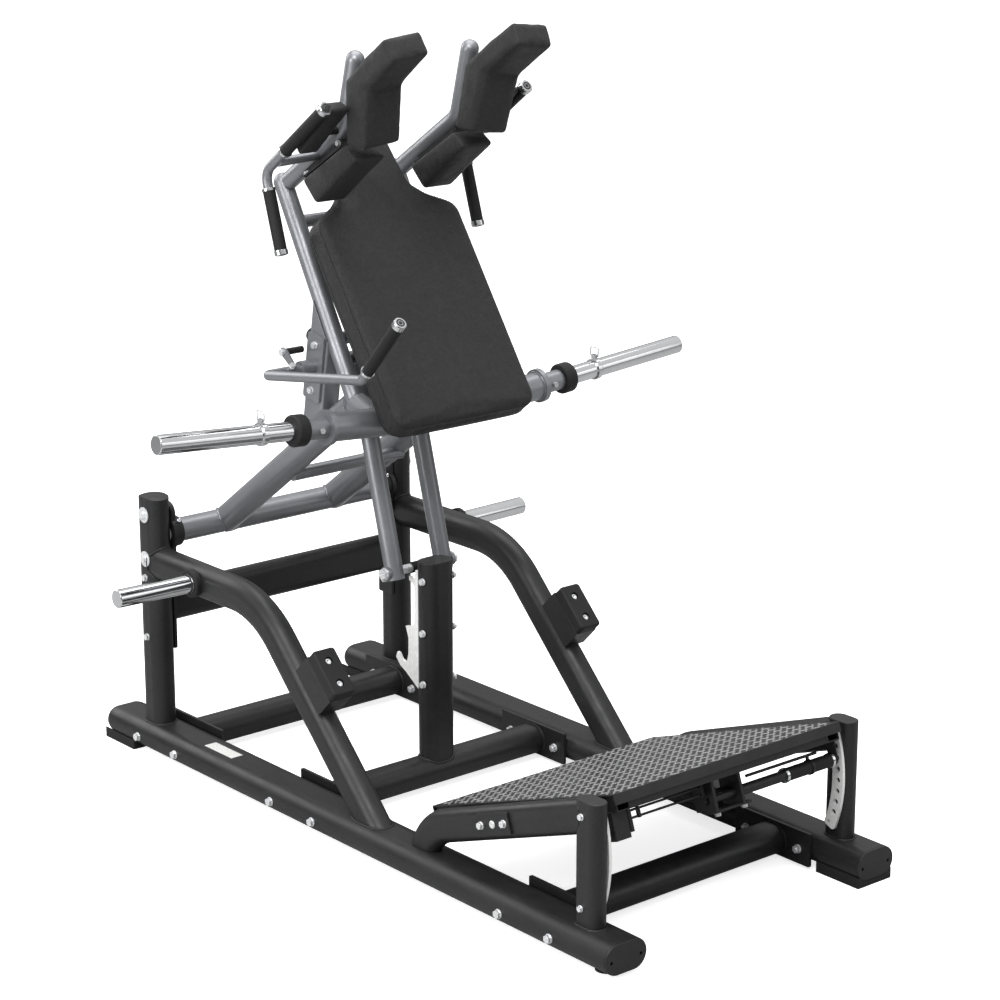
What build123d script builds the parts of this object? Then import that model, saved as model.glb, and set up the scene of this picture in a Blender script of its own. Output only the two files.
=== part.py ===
from build123d import *
import os
from math import cos, sin, tan, radians, sqrt

# Lever hack squat machine, in millimetres. +X to the right as seen from the front, +Y to the
# rear, +Z up. Origin on the floor, at the middle of the base frame's footprint. Positions are
# written from the front face of the base rails (y = 0); put() moves them to the origin.
# "Left" is -X. Most paired pieces are modelled on the left and mirrored.

# ---- base frame ----
BASE_LENGTH = 2131.0      # rails, over the end caps
RAIL_X = 422.0            # rail centre line from the middle plane
RAIL_W, RAIL_H = 130.0, 78.0
RAIL_Z = 53.0             # rail centre height
WALL = 3.0                # wall of every flat-oval tube
CAP_T, REAR_CAP_T = 6.0, 36.0
CROSS_W, CROSS_H = 98.0, 78.0
CROSS_YS = (289.0, 1225.0, 1860.0)
CROSS_BOLT = 92.0         # half spacing of the bolts in each flange plate
BOLT_Z = 50.0
FLANGE_T = 8.0
# ---- rear posts and side tubes ----
POST_W, POST_D = 70.0, 94.0     # flat-oval section of both
REAR_POST_Y, REAR_POST_TOP = 1931.0, 741.0
POST_OUT, POST_IN = RAIL_X + POST_W / 2, RAIL_X - POST_W / 2   # outer and inner face, x
PIVOT = (1928.0, 634.0)   # carriage pivot axis (y, z)
PIVOT_TUBE_R = 33.5
BEARING_BOLT = 63.0       # bolts above and below the pivot
UPPER_CROSS_Z = 430.5
UPPER_CROSS_H, UPPER_CROSS_W = 106.0, 56.0
UPPER_BOLT_ZS = (344.0, 516.0)
SIDE_TUBE_Z = 558.0       # level part of the side tubes
SIDE_TUBE_BEND_R = 280.0
SIDE_LINE = 867.6         # sloping part: z = y - SIDE_LINE
STORE = (1692.0, 559.0)   # storage horn root (y, z)
STORE_END_X = 703.0
STORE_LEAN = 1.0          # degrees the storage horns lean up so plates stay on
HORN_R = 25.0             # 50 mm plate horns
# ---- centre post ----
CENTRE_W, CENTRE_D, CENTRE_Y, CENTRE_TOP = 100.0, 70.0, 1222.0, 640.0
CATCH_X, CATCH_T = 40.0, 8.0
# ---- carriage ----
ARM_X, ARM_R = 187.0, 38.0
ARM_END = (1318.0, 1079.5)
CROSS_TUBE_Y, CROSS_TUBE_Z = 1216.0, 1039.0
HORN_TILT = 4.5           # degrees, upwards to the outside
HORN_END_X = 871.5
BACK_TUBE_R = 25.0
BACK_TUBE_BOTTOM = (1306.0, 1076.0)
BACK_TUBE_TOP = (1618.0, 1628.0)
SHOULDER_LINE = [(1588.0, 1636.0), (1344.0, 1797.0), (1297.0, 1978.0)]
SHOULDER_R, SHOULDER_BEND_R = 24.0, 60
PROP_PIVOT = (1447.0, 1165.0)
PROP_FOOT = (1293.0, 610.0)
PROP_X, PROP_R = 83.0, 25.0
PROP_PIVOT_R = 15.0
SHAFT_R = 12.0
LEVER_X = -358.0
GRIP_TUBE_R = 13.0        # handle and lever tubes inside their grips
# ---- platform ----
PLAT_PIVOT = (445.0, 250.0)
PLAT_TILT = radians(19.3)
PLAT_HALF_W = 378.0
PLAT_FRONT, PLAT_REAR, PLAT_TOP = -381.0, 329.0, 40.0
ARM_LINE_TILT = radians(20.0)
ARM_BACK_Y = 750.0
PLAT_ARM_H, PLAT_ARM_W = 86.0, 50.0
FRONT_POST_Y, FRONT_POST_L, FRONT_POST_W = 123.0, 82.0, 50.0
INDEX_R = 339.0           # index holes from the platform pivot
INDEX_STEP, INDEX_MID = 5.0, 0.3    # degrees
PIN_R = 6.0
# ---- fits and bolt sizes ----
RUN = 0.05                # radial running clearance
BOLT_GAP = 0.3            # radial clearance of bolts in their holes
M12 = dict(radius=6.0, flats=19, head=8, washer_r=12)
M10 = dict(radius=5.0, flats=16, head=7, washer_r=10, washer_t=2)
M12_HOLE, M10_HOLE, M8_HOLE = 6 + BOLT_GAP, 5 + BOLT_GAP, 4 + BOLT_GAP

SIDES = (-1, 1)           # left, right
X_DIR, Y_DIR, Z_DIR = (1, 0, 0), (0, 1, 0), (0, 0, 1)
FROM_BASE = (Align.CENTER, Align.CENTER, Align.MIN)

os.makedirs("parts", exist_ok=True)


# ---------------------------------------------------------------- helpers
def rod(start, end, radius):
    start, end = Vector(*start), Vector(*end)
    span = end - start
    plane = Plane(origin=start, z_dir=span.normalized())
    return plane.location * Cylinder(radius, span.length, align=FROM_BASE)


def ring(start, end, outer_r, inner_r):
    start, end = Vector(*start), Vector(*end)
    step = (end - start).normalized()
    return rod(start, end, outer_r) - rod(start - step, end + step, inner_r)


def x_rod(x0, x1, at, radius):
    """rod parallel to X at (y, z)"""
    return rod((x0, *at), (x1, *at), radius)


def x_ring(x0, x1, at, outer_r, inner_r):
    return ring((x0, *at), (x1, *at), outer_r, inner_r)


def drill(shape, x0, x1, centres, radius):
    """cut a hole parallel to X at each (y, z)"""
    for at in centres:
        shape = shape - x_rod(x0, x1, at, radius)
    return shape


def upright_oval(width, depth, z0, z1, at, rotation=0):
    """upright flat-oval prism at (x, y): the longer side lies along X unless turned"""
    return extrude(Pos(*at, z0) * SlotOverall(width, depth, rotation=rotation), z1 - z0)


def oval_bar(start, end, wide_dir, width, height):
    """flat-oval prism, the longer side lying along wide_dir"""
    start, end = Vector(*start), Vector(*end)
    span = end - start
    plane = Plane(origin=start, x_dir=wide_dir, z_dir=span.normalized())
    return extrude(plane * SlotOverall(width, height), span.length)


def x_oval(x0, x1, at, wide_dir, width, height):
    return oval_bar((x0, *at), (x1, *at), wide_dir, width, height)


def rail_bar(side, y0, y1, width, height):
    """flat-oval bar on a rail's centre line"""
    x = side * RAIL_X
    return oval_bar((x, y0, RAIL_Z), (x, y1, RAIL_Z), X_DIR, width, height)


def oval_sweep(path, height, width):
    plane = Plane(origin=path @ 0, x_dir=X_DIR, z_dir=path % 0)
    return sweep(plane * SlotOverall(height, width, rotation=90), path=path)


def bent_rod(points, radius, bend):
    """round bar through the points with rounded corners"""
    path = FilletPolyline(*[tuple(point) for point in points], radius=bend)
    return sweep(Plane(origin=path @ 0, z_dir=path % 0) * Circle(radius), path=path)


def polygon(points):
    return make_face(Polyline(*points, close=True))


def side_profile(x, thickness, face):
    """face drawn in (y, z), extruded from x towards +X"""
    return extrude(Plane(origin=(x, 0, 0), x_dir=Y_DIR, z_dir=X_DIR) * face, thickness)


def profile_pad(points, x, width, corner_r, edge_r):
    """cushion from a (y, z) outline, rounded at its corners and round both side faces"""
    face = polygon(points)
    pad = side_profile(x, width, fillet(face.vertices(), corner_r))
    half = width / 2
    rims = pad.edges().filter_by(lambda e: abs(abs(e.center().X - x - half) - half) < 0.01)
    return fillet(rims, edge_r)


def hexagon(start, direction, flats, height):
    plane = Plane(origin=Vector(*start), z_dir=Vector(*direction))
    return extrude(plane * RegularPolygon(flats / sqrt(3), 6), height)


def trimmed_hexagon(start, direction, flats, height):
    """hexagon prism with its corners turned down"""
    return (hexagon(start, direction, flats, height)
            & rod(start, start + direction * height, flats / 2 * 1.13))


def bolt(face, direction, grip_length, radius, flats, head, washer_r, washer_t=2.5,
         nut=True, nut_washer=True):
    """hex bolt: face is the clamped face under the head's washer, direction points into the
    work. Returns separate solids: bolt, washer, nut washer and nut."""
    face, direction = Vector(*face), Vector(*direction).normalized()
    under = face - direction * washer_t
    far = face + direction * grip_length
    nut_face = far + direction * washer_t if nut and nut_washer else far
    end = nut_face + direction * (head + 3.0) if nut else nut_face
    body = trimmed_hexagon(under - direction * head, direction, flats, head)
    pieces = [body + rod(under, end, radius), ring(under, face, washer_r, radius + 0.3)]
    if nut:
        if nut_washer:
            pieces.append(ring(far, nut_face, washer_r, radius + 0.3))
        blank = trimmed_hexagon(nut_face, direction, flats, head)
        bore = rod(nut_face - direction, nut_face + direction * (head + 1), radius + 0.1)
        pieces.append(blank - bore)
    return pieces


def mirror_x(shape):
    return mirror(shape, about=Plane.YZ)


def both(*shapes):
    """each shape followed by its mirror image"""
    return [twin for shape in shapes for twin in (shape, mirror_x(shape))]


def largest(shape):
    return shape.solids().sort_by(SortBy.VOLUME)[-1]


def solids_of(*things):
    found = []
    for thing in things:
        found += solids_of(*thing) if isinstance(thing, (list, tuple)) else list(thing.solids())
    return found


def put(name, *things):
    """write one file holding all the separate solids"""
    solids = solids_of(*things)
    shape = solids[0] if len(solids) == 1 else Compound(children=solids)
    export_step(Pos(0, -BASE_LENGTH / 2, 0) * shape, f"parts/{name}.step")


# ---------------------------------------------------------------- base rails
LEVEL_Y = 66.0            # levelling foot under the left rail
rail_solid = rail_bar(-1, CAP_T, BASE_LENGTH - REAR_CAP_T, RAIL_W, RAIL_H)
rail_tube = rail_solid - rail_bar(-1, CAP_T - 1, BASE_LENGTH - REAR_CAP_T + 1,
                                  RAIL_W - 2 * WALL, RAIL_H - 2 * WALL)
frame_bolts = [(y + s * CROSS_BOLT, BOLT_Z) for y in CROSS_YS for s in SIDES]
left_rail = drill(rail_tube, -RAIL_X - 80, -RAIL_X + 80, frame_bolts, M12_HOLE)
left_rail = left_rail - rod((-RAIL_X, LEVEL_Y, 0), (-RAIL_X, LEVEL_Y, 25), 6.2)
right_rail = drill(mirror_x(rail_tube), RAIL_X - 80, RAIL_X + 80, frame_bolts, M12_HOLE)
put("rails", left_rail, right_rail)


def end_cap(side, y, inward, thickness, edge_r):
    """rounded plate with a hollow spigot inside the rail; inward is +1 at the front"""
    plate = rail_bar(side, y, y + inward * (thickness - 0.05), RAIL_W - 1, RAIL_H - 1)
    outer_face = plate.faces().sort_by(Axis.Y)[0 if inward > 0 else -1]
    plate = fillet(outer_face.edges(), edge_r)
    spigot = rail_bar(side, y + inward * (thickness - 1), y + inward * (thickness + 22),
                      RAIL_W - 2 * WALL - 0.8, RAIL_H - 2 * WALL - 0.8)
    spigot = spigot - rail_bar(side, y + inward * (thickness + 4), y + inward * (thickness + 23),
                               RAIL_W - 2 * WALL - 8, RAIL_H - 2 * WALL - 8)
    cap = plate + spigot
    if inward > 0:
        for offset in (-46.0, 46.0):
            x = side * RAIL_X + offset
            cap = cap - rod((x, y - 1, 50.0), (x, y + thickness + 29, 50.0), 4.5)
    return cap


put("rail_end_caps", [end_cap(side, *end) for side in SIDES for end in (
    (0.0, 1, CAP_T, 2.0), (BASE_LENGTH, -1, REAR_CAP_T, 30.0))])


def foot_block(side, y0, y1):
    """rubber block hollowed to the rail's underside"""
    block = Pos(side * RAIL_X, (y0 + y1) / 2, 14) * Box(120, y1 - y0, 28)
    block = fillet(block.edges().filter_by(Axis.Z), 3)
    return block - rail_bar(side, -1, BASE_LENGTH + 1, RAIL_W + 0.04, RAIL_H + 0.04)


put("foot_blocks", foot_block(1, 0.0, 147.0), foot_block(1, 1984.0, BASE_LENGTH),
    foot_block(-1, 1984.0, BASE_LENGTH))

# screw-in levelling foot under the front of the left rail
level_foot = Pos(-RAIL_X, LEVEL_Y, 5) * Cylinder(29, 10)
level_foot = fillet(level_foot.edges().sort_by(Axis.Z)[-1], 3)
level_foot = level_foot + rod((-RAIL_X, LEVEL_Y, 9), (-RAIL_X, LEVEL_Y, 32), 6.0)
level_nut = hexagon((-RAIL_X, LEVEL_Y, 10.05), Z_DIR, 19, 3.9)
level_nut = level_nut - rod((-RAIL_X, LEVEL_Y, 9), (-RAIL_X, LEVEL_Y, 19), 6.1)
put("levelling_foot", level_foot, level_nut)


# ---------------------------------------------------------------- cross members
def cross_member(face_x, at, wide_dir, width, height, plate_z, plate_size, holes, hole_r):
    """oval tube at (y, z) between flange plates whose outer faces stand at +-face_x"""
    def bar(half, trim):
        return x_oval(-half, half, at, wide_dir, width - trim, height - trim)

    member = bar(face_x - FLANGE_T, 0) - bar(face_x, 2 * WALL)
    for side in SIDES:
        plate = Pos(side * (face_x - FLANGE_T / 2), at[0], plate_z) * Box(FLANGE_T, *plate_size)
        plate = fillet(plate.edges().filter_by(Axis.X), 4)
        member = member + drill(plate, side * face_x - 20, side * face_x + 20, holes, hole_r)
    return member


put("cross_members", [
    cross_member(RAIL_X - RAIL_W / 2, (y, RAIL_Z), Y_DIR, CROSS_W, CROSS_H, 55, (264, 90),
                 [(y + s * CROSS_BOLT, BOLT_Z) for s in SIDES], M12_HOLE) for y in CROSS_YS])
put("frame_bolts", [
    bolt((side * (RAIL_X + RAIL_W / 2), *at), (-side, 0, 0), RAIL_W + FLANGE_T, **M12)
    for side in SIDES for at in frame_bolts])

# ---------------------------------------------------------------- rear posts
bearing_bolt_at = [(PIVOT[0], PIVOT[1] + s * BEARING_BOLT) for s in SIDES]
upper_bolt_at = [(REAR_POST_Y, z) for z in UPPER_BOLT_ZS]
REAR_POST_AT = (-RAIL_X, REAR_POST_Y)
post_solid = upright_oval(POST_D, POST_W, 80, REAR_POST_TOP, REAR_POST_AT, 90)
post_inside = upright_oval(POST_D - 2 * WALL, POST_W - 2 * WALL, 70, REAR_POST_TOP + 1,
                           REAR_POST_AT, 90)
rear_post = post_solid - post_inside - rail_solid
rear_post = drill(rear_post, -POST_OUT - 10, -POST_IN + 10, bearing_bolt_at, M12_HOLE)
rear_post = drill(rear_post, -POST_OUT - 10, -POST_IN + 10, upper_bolt_at, M10_HOLE)
put("rear_posts", both(rear_post))

# domed cap with a plug inside the post
DOME_R = 105
dome = upright_oval(POST_D, POST_W, REAR_POST_TOP, REAR_POST_TOP + 14, REAR_POST_AT, 90)
dome = dome & (Pos(*REAR_POST_AT, REAR_POST_TOP + 12 - DOME_R) * Sphere(DOME_R))
dome = dome + upright_oval(POST_D - 2 * WALL - 0.6, POST_W - 2 * WALL - 0.6,
                           REAR_POST_TOP - 18, REAR_POST_TOP, REAR_POST_AT, 90)

put("upper_cross_member", cross_member(
    POST_IN, (REAR_POST_Y, UPPER_CROSS_Z), Z_DIR, UPPER_CROSS_H, UPPER_CROSS_W,
    423, (62, 242), upper_bolt_at, M10_HOLE))
upper_bolts = [bolt((side * POST_OUT, *at), (-side, 0, 0), POST_W + FLANGE_T, **M10)
               for side in SIDES for at in upper_bolt_at]

# ---------------------------------------------------------------- bearings on the rear posts
BEARING_FLANGE_T, BEARING_T = 13, 34
STUB_R = 26.0
NIPPLE_DIR = Vector(0, -sin(radians(40)), cos(radians(40)))


def nipple_foot(side):
    """foot of the grease nipple's hole in the housing"""
    return Vector(side * (POST_IN - 23), *PIVOT) + NIPPLE_DIR * 40


def bearing_housing(side):
    root = side * POST_IN
    flange_face = side * (POST_IN - BEARING_FLANGE_T)
    nose = side * (POST_IN - BEARING_T)
    body = x_oval(root, flange_face, PIVOT, Z_DIR, 176, 60)
    body = body + x_rod(root, flange_face, PIVOT, 48)
    body = body + x_rod(flange_face, nose, PIVOT, 43)
    body = body - x_rod(root + side, nose - side, PIVOT, STUB_R + RUN)
    body = drill(body, root - 30, root + 30, bearing_bolt_at, M12_HOLE)
    foot = nipple_foot(side)
    return body - rod(foot, foot + NIPPLE_DIR * 12, 3.0)


def grease_nipple(side):
    foot = nipple_foot(side)
    nipple = rod(foot + NIPPLE_DIR * 0.3, foot + NIPPLE_DIR * 13, 2.8)
    return (nipple + rod(foot + NIPPLE_DIR * 6, foot + NIPPLE_DIR * 9, 5.0)
            + Pos(*(foot + NIPPLE_DIR * 13)) * Sphere(3.4))


put("bearing_housings", [bearing_housing(side) for side in SIDES])
bearing_bolt = dict(M12, washer_r=22, washer_t=3, nut_washer=False)
put("bearing_bolts",
    [bolt((side * POST_OUT, *at), (-side, 0, 0), POST_W + BEARING_FLANGE_T, **bearing_bolt)
     for side in SIDES for at in bearing_bolt_at],
    [grease_nipple(side) for side in SIDES])

# ---------------------------------------------------------------- curved side tubes
side_path = FilletPolyline(
    (-RAIL_X, REAR_POST_Y - POST_D / 2 + 20, SIDE_TUBE_Z),
    (-RAIL_X, SIDE_TUBE_Z + SIDE_LINE, SIDE_TUBE_Z),
    (-RAIL_X, 60 + SIDE_LINE, 60), radius=SIDE_TUBE_BEND_R)
side_solid = oval_sweep(side_path, POST_D, POST_W)
side_tube = side_solid - oval_sweep(side_path, POST_D - 2 * WALL, POST_W - 2 * WALL)
side_tube = side_tube - rail_solid - post_solid
side_tube = side_tube - x_rod(-RAIL_X - 80, -RAIL_X + 80, STORE, 12.2)

# plate storage horns: lean from the collar, held by a level stud through the tube
lean = radians(STORE_LEAN)
store_dir = Vector(-cos(lean), 0, sin(lean))
store_root = Vector(-POST_OUT, *STORE)
STUD_R = 12.0


def store_rod(start, end, radius):
    return rod(store_root + store_dir * start, store_root + store_dir * end, radius)


store_horn = store_rod(20, (STORE_END_X - POST_OUT) / cos(lean), HORN_R)
store_horn = chamfer(store_horn.edges().sort_by(Axis.X)[0], 2.0)
horn_seat = store_rod(-3, 18, HORN_R - 0.15) + store_rod(17, 21, HORN_R - 2)
store_horn = store_horn + (horn_seat - Pos(-POST_OUT + 50, *STORE) * Box(100, 120, 120))
store_horn = store_horn + x_rod(-POST_OUT - 2, -POST_IN + 12, STORE, STUD_R)
store_horn = store_horn - x_rod(-POST_IN + 13, -POST_IN - 10, STORE, 5.0)
store_collar = x_rod(-POST_OUT, -POST_OUT - 17, STORE, 39)
store_collar = fillet(store_collar.edges().sort_by(Axis.X)[0], 4)
store_collar = store_collar - store_rod(-3, 30, HORN_R - 0.1)
put("storage_horn_collars", both(store_collar))
stud_washer = x_ring(-POST_IN, -POST_IN + 2.5, STORE, 20, 12.3)
stud_nut = hexagon((-POST_IN + 2.5, *STORE), X_DIR, 30, 9)
stud_nut = stud_nut - x_rod(-POST_IN, -POST_IN + 20, STORE, STUD_R + RUN)
put("storage_horns", both(store_horn, stud_washer, stud_nut))

# ---------------------------------------------------------------- bumpers on the side tubes
BLOCK_START, BLOCK_END = 1040.0, 1176.0   # along the slope
BRACKET_TOP, BUMPER_TOP = 118.0, 150.0    # out from the slope line
BLOCK_HALF_W = 35


def on_slope(along, out):
    """point on the left side tube: along the slope upwards, out of its front face"""
    return (-RAIL_X, (sqrt(2) * (along - out) + SIDE_LINE) / 2,
            (sqrt(2) * (along + out) - SIDE_LINE) / 2)


def slope_box(half_w, along0, along1, out0, out1, corner_r=0.0):
    centre = Vector(*on_slope((along0 + along1) / 2, (out0 + out1) / 2))
    box = Box(2 * half_w, along1 - along0, out1 - out0)
    if corner_r:
        box = fillet(box.edges().filter_by(Axis.Z), corner_r)
    return Plane(origin=centre, x_dir=X_DIR, z_dir=(0, -1, 1)).location * box


def slope_rod(along, out0, out1, radius):
    return rod(on_slope(along, out0), on_slope(along, out1), radius)


bracket = slope_box(BLOCK_HALF_W, BLOCK_START, BLOCK_END, 46.0, BRACKET_TOP)
top_corner = Vector(*on_slope(BLOCK_END, BRACKET_TOP))
bracket = fillet(bracket.edges().sort_by_distance(top_corner)[:1], 0.8)
bracket = bracket - side_solid
bracket = bracket - slope_box(BLOCK_HALF_W - 6, BLOCK_START + 6, BLOCK_END - 6,
                              30.0, BRACKET_TOP - 6)
rubber = slope_box(BLOCK_HALF_W, BLOCK_START - 1, BLOCK_END - 1, BRACKET_TOP + 0.05,
                   BUMPER_TOP, corner_r=10.0)
rubber_face = rubber.faces().sort_by(lambda f: f.center().Y - f.center().Z)[0]
rubber = fillet(rubber_face.edges(), 6)
bumper_screws = []
for along in (1072.0, 1139.0):
    side_tube = side_tube - slope_rod(along, 30, 60, 5.2)
    bracket = bracket - slope_rod(along, 100, 130, 5.2)
    rubber = rubber - slope_rod(along, 138, 170, 11.0) - slope_rod(along, 110, 170, 5.2)
    screw = slope_rod(along, 138.1, 145, 8.0) + slope_rod(along, 98, 142, 5.0)
    socket = Plane(origin=Vector(*on_slope(along, 146)), z_dir=(0, 1, -1))
    screw = screw - extrude(socket * RegularPolygon(4.6, 6), 5)
    bumper_screws += both(screw)
put("side_tubes", both(side_tube, bracket))
put("bumper_rubbers", both(rubber))
put("bumper_screws", bumper_screws)

# ---------------------------------------------------------------- centre post, catch plates
CENTRE_AT = (0, CENTRE_Y)
catch_bolt_at = [(CENTRE_Y - 10, z) for z in (594.0, 449.0, 305.0)]
middle_cross = x_oval(-400, 400, (CROSS_YS[1], RAIL_Z), Y_DIR, CROSS_W, CROSS_H)
centre_solid = upright_oval(CENTRE_W, CENTRE_D, 55, CENTRE_TOP, CENTRE_AT)
centre_inside = upright_oval(CENTRE_W - 2 * WALL, CENTRE_D - 2 * WALL, 50, CENTRE_TOP + 1,
                             CENTRE_AT)


def catch_slot(side):
    """slot for a catch plate in the post's rear wall"""
    return Pos(side * CATCH_X, 1246, 451) * Box(CATCH_T + 0.4, 60, 340)


centre_post = centre_solid - centre_inside - middle_cross
for side in SIDES:
    centre_post = centre_post - catch_slot(side)
put("centre_post", drill(centre_post, -60, 60, catch_bolt_at, M10_HOLE))

# hook plate outline (y, z): two open hooks behind the post, one high and one low
CATCH_OUTLINE = [
    (1204, 284), (1245, 284), (1296, 318), (1322, 331), (1339, 351), (1333, 366),
    (1326, 364), (1314, 349), (1301, 345), (1291, 352), (1285, 372), (1284, 417),
    (1296, 449), (1261, 458), (1256, 500), (1256, 566), (1262, 574), (1279, 583),
    (1279.5, 594), (1274, 594.5), (1270, 590), (1262, 588), (1256.5, 592), (1252, 616),
    (1204, 620)]
catch = side_profile(-CATCH_X - CATCH_T / 2, CATCH_T, polygon(CATCH_OUTLINE))
catch = drill(catch, -CATCH_X - 20, -CATCH_X + 20, catch_bolt_at, M10_HOLE)
# trimmed clear of the post's foot and walls
catch = (catch - upright_oval(CENTRE_W, CENTRE_D, 50, 282, CENTRE_AT)
         - (centre_solid - centre_inside - catch_slot(-1)))
put("catch_plates", both(largest(catch)))
catch_bolts = [bolt((-CENTRE_W / 2, *at), X_DIR, CENTRE_W, **M10) for at in catch_bolt_at]

centre_cap = upright_oval(CENTRE_W, CENTRE_D, CENTRE_TOP, CENTRE_TOP + 4, CENTRE_AT)
centre_cap = fillet(centre_cap.faces().sort_by(Axis.Z)[-1].edges(), 2)
centre_cap = centre_cap + upright_oval(CENTRE_W - 2 * WALL - 0.6, CENTRE_D - 2 * WALL - 0.6,
                                       CENTRE_TOP - 12, CENTRE_TOP, CENTRE_AT)
put("post_caps", both(dome), centre_cap)

# ---------------------------------------------------------------- platform side arms
ARM_OUT = -RAIL_X - PLAT_ARM_W / 2     # outer face of the left arm
PLAT_PIN_R = 10.0
PLATE_T = 6                            # pivot plates
arm_bolt_at = [(PLAT_PIVOT[0] + s * cos(ARM_LINE_TILT), PLAT_PIVOT[1] - s * sin(ARM_LINE_TILT))
               for s in (-45, 45)]


def arm_point(y):
    """point on the sloping line of the left side arm"""
    return (-RAIL_X, y, PLAT_PIVOT[1] + (PLAT_PIVOT[0] - y) * tan(ARM_LINE_TILT))


arm_path = FilletPolyline(arm_point(FRONT_POST_Y), arm_point(ARM_BACK_Y),
                          (-RAIL_X, ARM_BACK_Y, 22), radius=150)
FRONT_POST_AT = (-RAIL_X, FRONT_POST_Y)
front_solid = upright_oval(FRONT_POST_L, FRONT_POST_W, 80, 405, FRONT_POST_AT, 90)
front_inside = upright_oval(FRONT_POST_L - 2 * WALL, FRONT_POST_W - 2 * WALL, 70, 402,
                            FRONT_POST_AT, 90)
side_arm = oval_sweep(arm_path, PLAT_ARM_H, PLAT_ARM_W)
side_arm = side_arm - oval_sweep(arm_path, PLAT_ARM_H - 2 * WALL, PLAT_ARM_W - 2 * WALL)
side_arm = side_arm - rail_solid - front_solid
side_arm = drill(side_arm, ARM_OUT - 5, ARM_OUT + 65, [PLAT_PIVOT], PLAT_PIN_R + RUN)
side_arm = drill(side_arm, ARM_OUT - 5, ARM_OUT + 65, arm_bolt_at, M10_HOLE)
put("platform_arms", both(largest(side_arm)))

# outer plates that carry the platform's pivot pins
plate_plane = Plane(origin=(ARM_OUT - PLATE_T, *PLAT_PIVOT), z_dir=X_DIR,
                    x_dir=(0, cos(ARM_LINE_TILT), -sin(ARM_LINE_TILT)))
pivot_plate = plate_plane.location * (Pos(0, 0, PLATE_T / 2) * Box(128, 56, PLATE_T))
pivot_plate = fillet(pivot_plate.edges().filter_by(Axis.X), 5)
pivot_plate = drill(pivot_plate, ARM_OUT - 10, ARM_OUT + 20, [PLAT_PIVOT], PLAT_PIN_R + RUN)
pivot_plate = drill(pivot_plate, ARM_OUT - 10, ARM_OUT + 20, arm_bolt_at, M10_HOLE)
put("platform_pivot_plates", both(pivot_plate))
arm_bolts = [both(*bolt((ARM_OUT - PLATE_T, *at), X_DIR, PLAT_ARM_W + PLATE_T,
                        nut_washer=False, **M10)) for at in arm_bolt_at]


# ---------------------------------------------------------------- front posts, index plates
def arc_point(radius, angle):
    """(y, z) in front of the platform pivot, angle in degrees above level"""
    return (PLAT_PIVOT[0] - radius * cos(radians(angle)),
            PLAT_PIVOT[1] + radius * sin(radians(angle)))


def index_arc(radius, *angles):
    return ThreePointArc(*[arc_point(radius, angle) for angle in angles])


index_bolt_at = [arc_point(333, angle) for angle in (20.3, -19.9)]
front_post = front_solid - front_inside - rail_solid
front_post = fillet(front_post.faces().sort_by(Axis.Z)[-1].edges(), 2.5)
put("front_posts", both(drill(front_post, -RAIL_X - 40, -RAIL_X + 40, index_bolt_at, M8_HOLE)))

# index plates on the posts' inner faces, with seven holes
INDEX_X = -RAIL_X + FRONT_POST_W / 2
INDEX_T = 8
INDEX_OUTER, INDEX_INNER = 356, 320    # radii
INDEX_LOW, INDEX_HIGH = -22.5, 22.9    # end angles
index = side_profile(INDEX_X, INDEX_T, make_face([
    index_arc(INDEX_OUTER, INDEX_LOW, 0, INDEX_HIGH),
    Line(arc_point(INDEX_OUTER, INDEX_HIGH), arc_point(INDEX_INNER, INDEX_HIGH)),
    index_arc(INDEX_INNER, INDEX_HIGH, 0, INDEX_LOW),
    Line(arc_point(INDEX_INNER, INDEX_LOW), arc_point(INDEX_OUTER, INDEX_LOW))]))
index = fillet(index.edges().filter_by(Axis.X), 8)
index_holes = [arc_point(INDEX_R, INDEX_MID + INDEX_STEP * k) for k in range(-3, 4)]
index = drill(index, INDEX_X - 5, INDEX_X + 15, index_holes, 7.5)
index = drill(index, INDEX_X - 5, INDEX_X + 15, index_bolt_at, M8_HOLE)
put("index_plates", both(index))
index_bolts = [both(*bolt((-RAIL_X - FRONT_POST_W / 2, *at), X_DIR, FRONT_POST_W + INDEX_T,
                          radius=4.0, flats=13, head=5.5, washer_r=8.5, washer_t=1.6, nut=False))
               for at in index_bolt_at]
put("small_bolts", upper_bolts, catch_bolts, arm_bolts, index_bolts)

# ---------------------------------------------------------------- foot platform
PLAT_UP = (0, sin(PLAT_TILT), cos(PLAT_TILT))


def on_platform(x, u, v):
    """point in the tilted platform frame: u to the rear, v up, both from the pivot"""
    return (x, PLAT_PIVOT[0] + u * cos(PLAT_TILT) + v * sin(PLAT_TILT),
            PLAT_PIVOT[1] - u * sin(PLAT_TILT) + v * cos(PLAT_TILT))


def platform_plane(x, u, v):
    return Plane(origin=Vector(*on_platform(x, u, v)), x_dir=X_DIR, z_dir=PLAT_UP)


def platform_box(x0, x1, u0, u1, v0, v1):
    plane = platform_plane((x0 + x1) / 2, (u0 + u1) / 2, (v0 + v1) / 2)
    return plane.location * Box(x1 - x0, u1 - u0, v1 - v0)


# tread plate: sheet with its front and rear lips folded down
SHEET_T = 4
UNDER = PLAT_TOP - SHEET_T             # underside of the tread
tread = platform_box(-PLAT_HALF_W, PLAT_HALF_W, PLAT_FRONT, PLAT_REAR, UNDER, PLAT_TOP)
for u in (PLAT_FRONT, PLAT_REAR - SHEET_T):
    tread = tread + platform_box(-PLAT_HALF_W, PLAT_HALF_W, u, u + SHEET_T, UNDER - 22, UNDER)
put("tread_plate", tread)

# lock pin line, near the platform's front edge
PIN_U, PIN_V = -334.6, -53.0
PIN = arc_point(INDEX_R, INDEX_MID + 2 * INDEX_STEP)
ROCKER_X, ROCKER_U, ROCKER_R = -13.0, -301.0, 5
BRACKET_BOLT_XS = (-36, 54)
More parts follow.
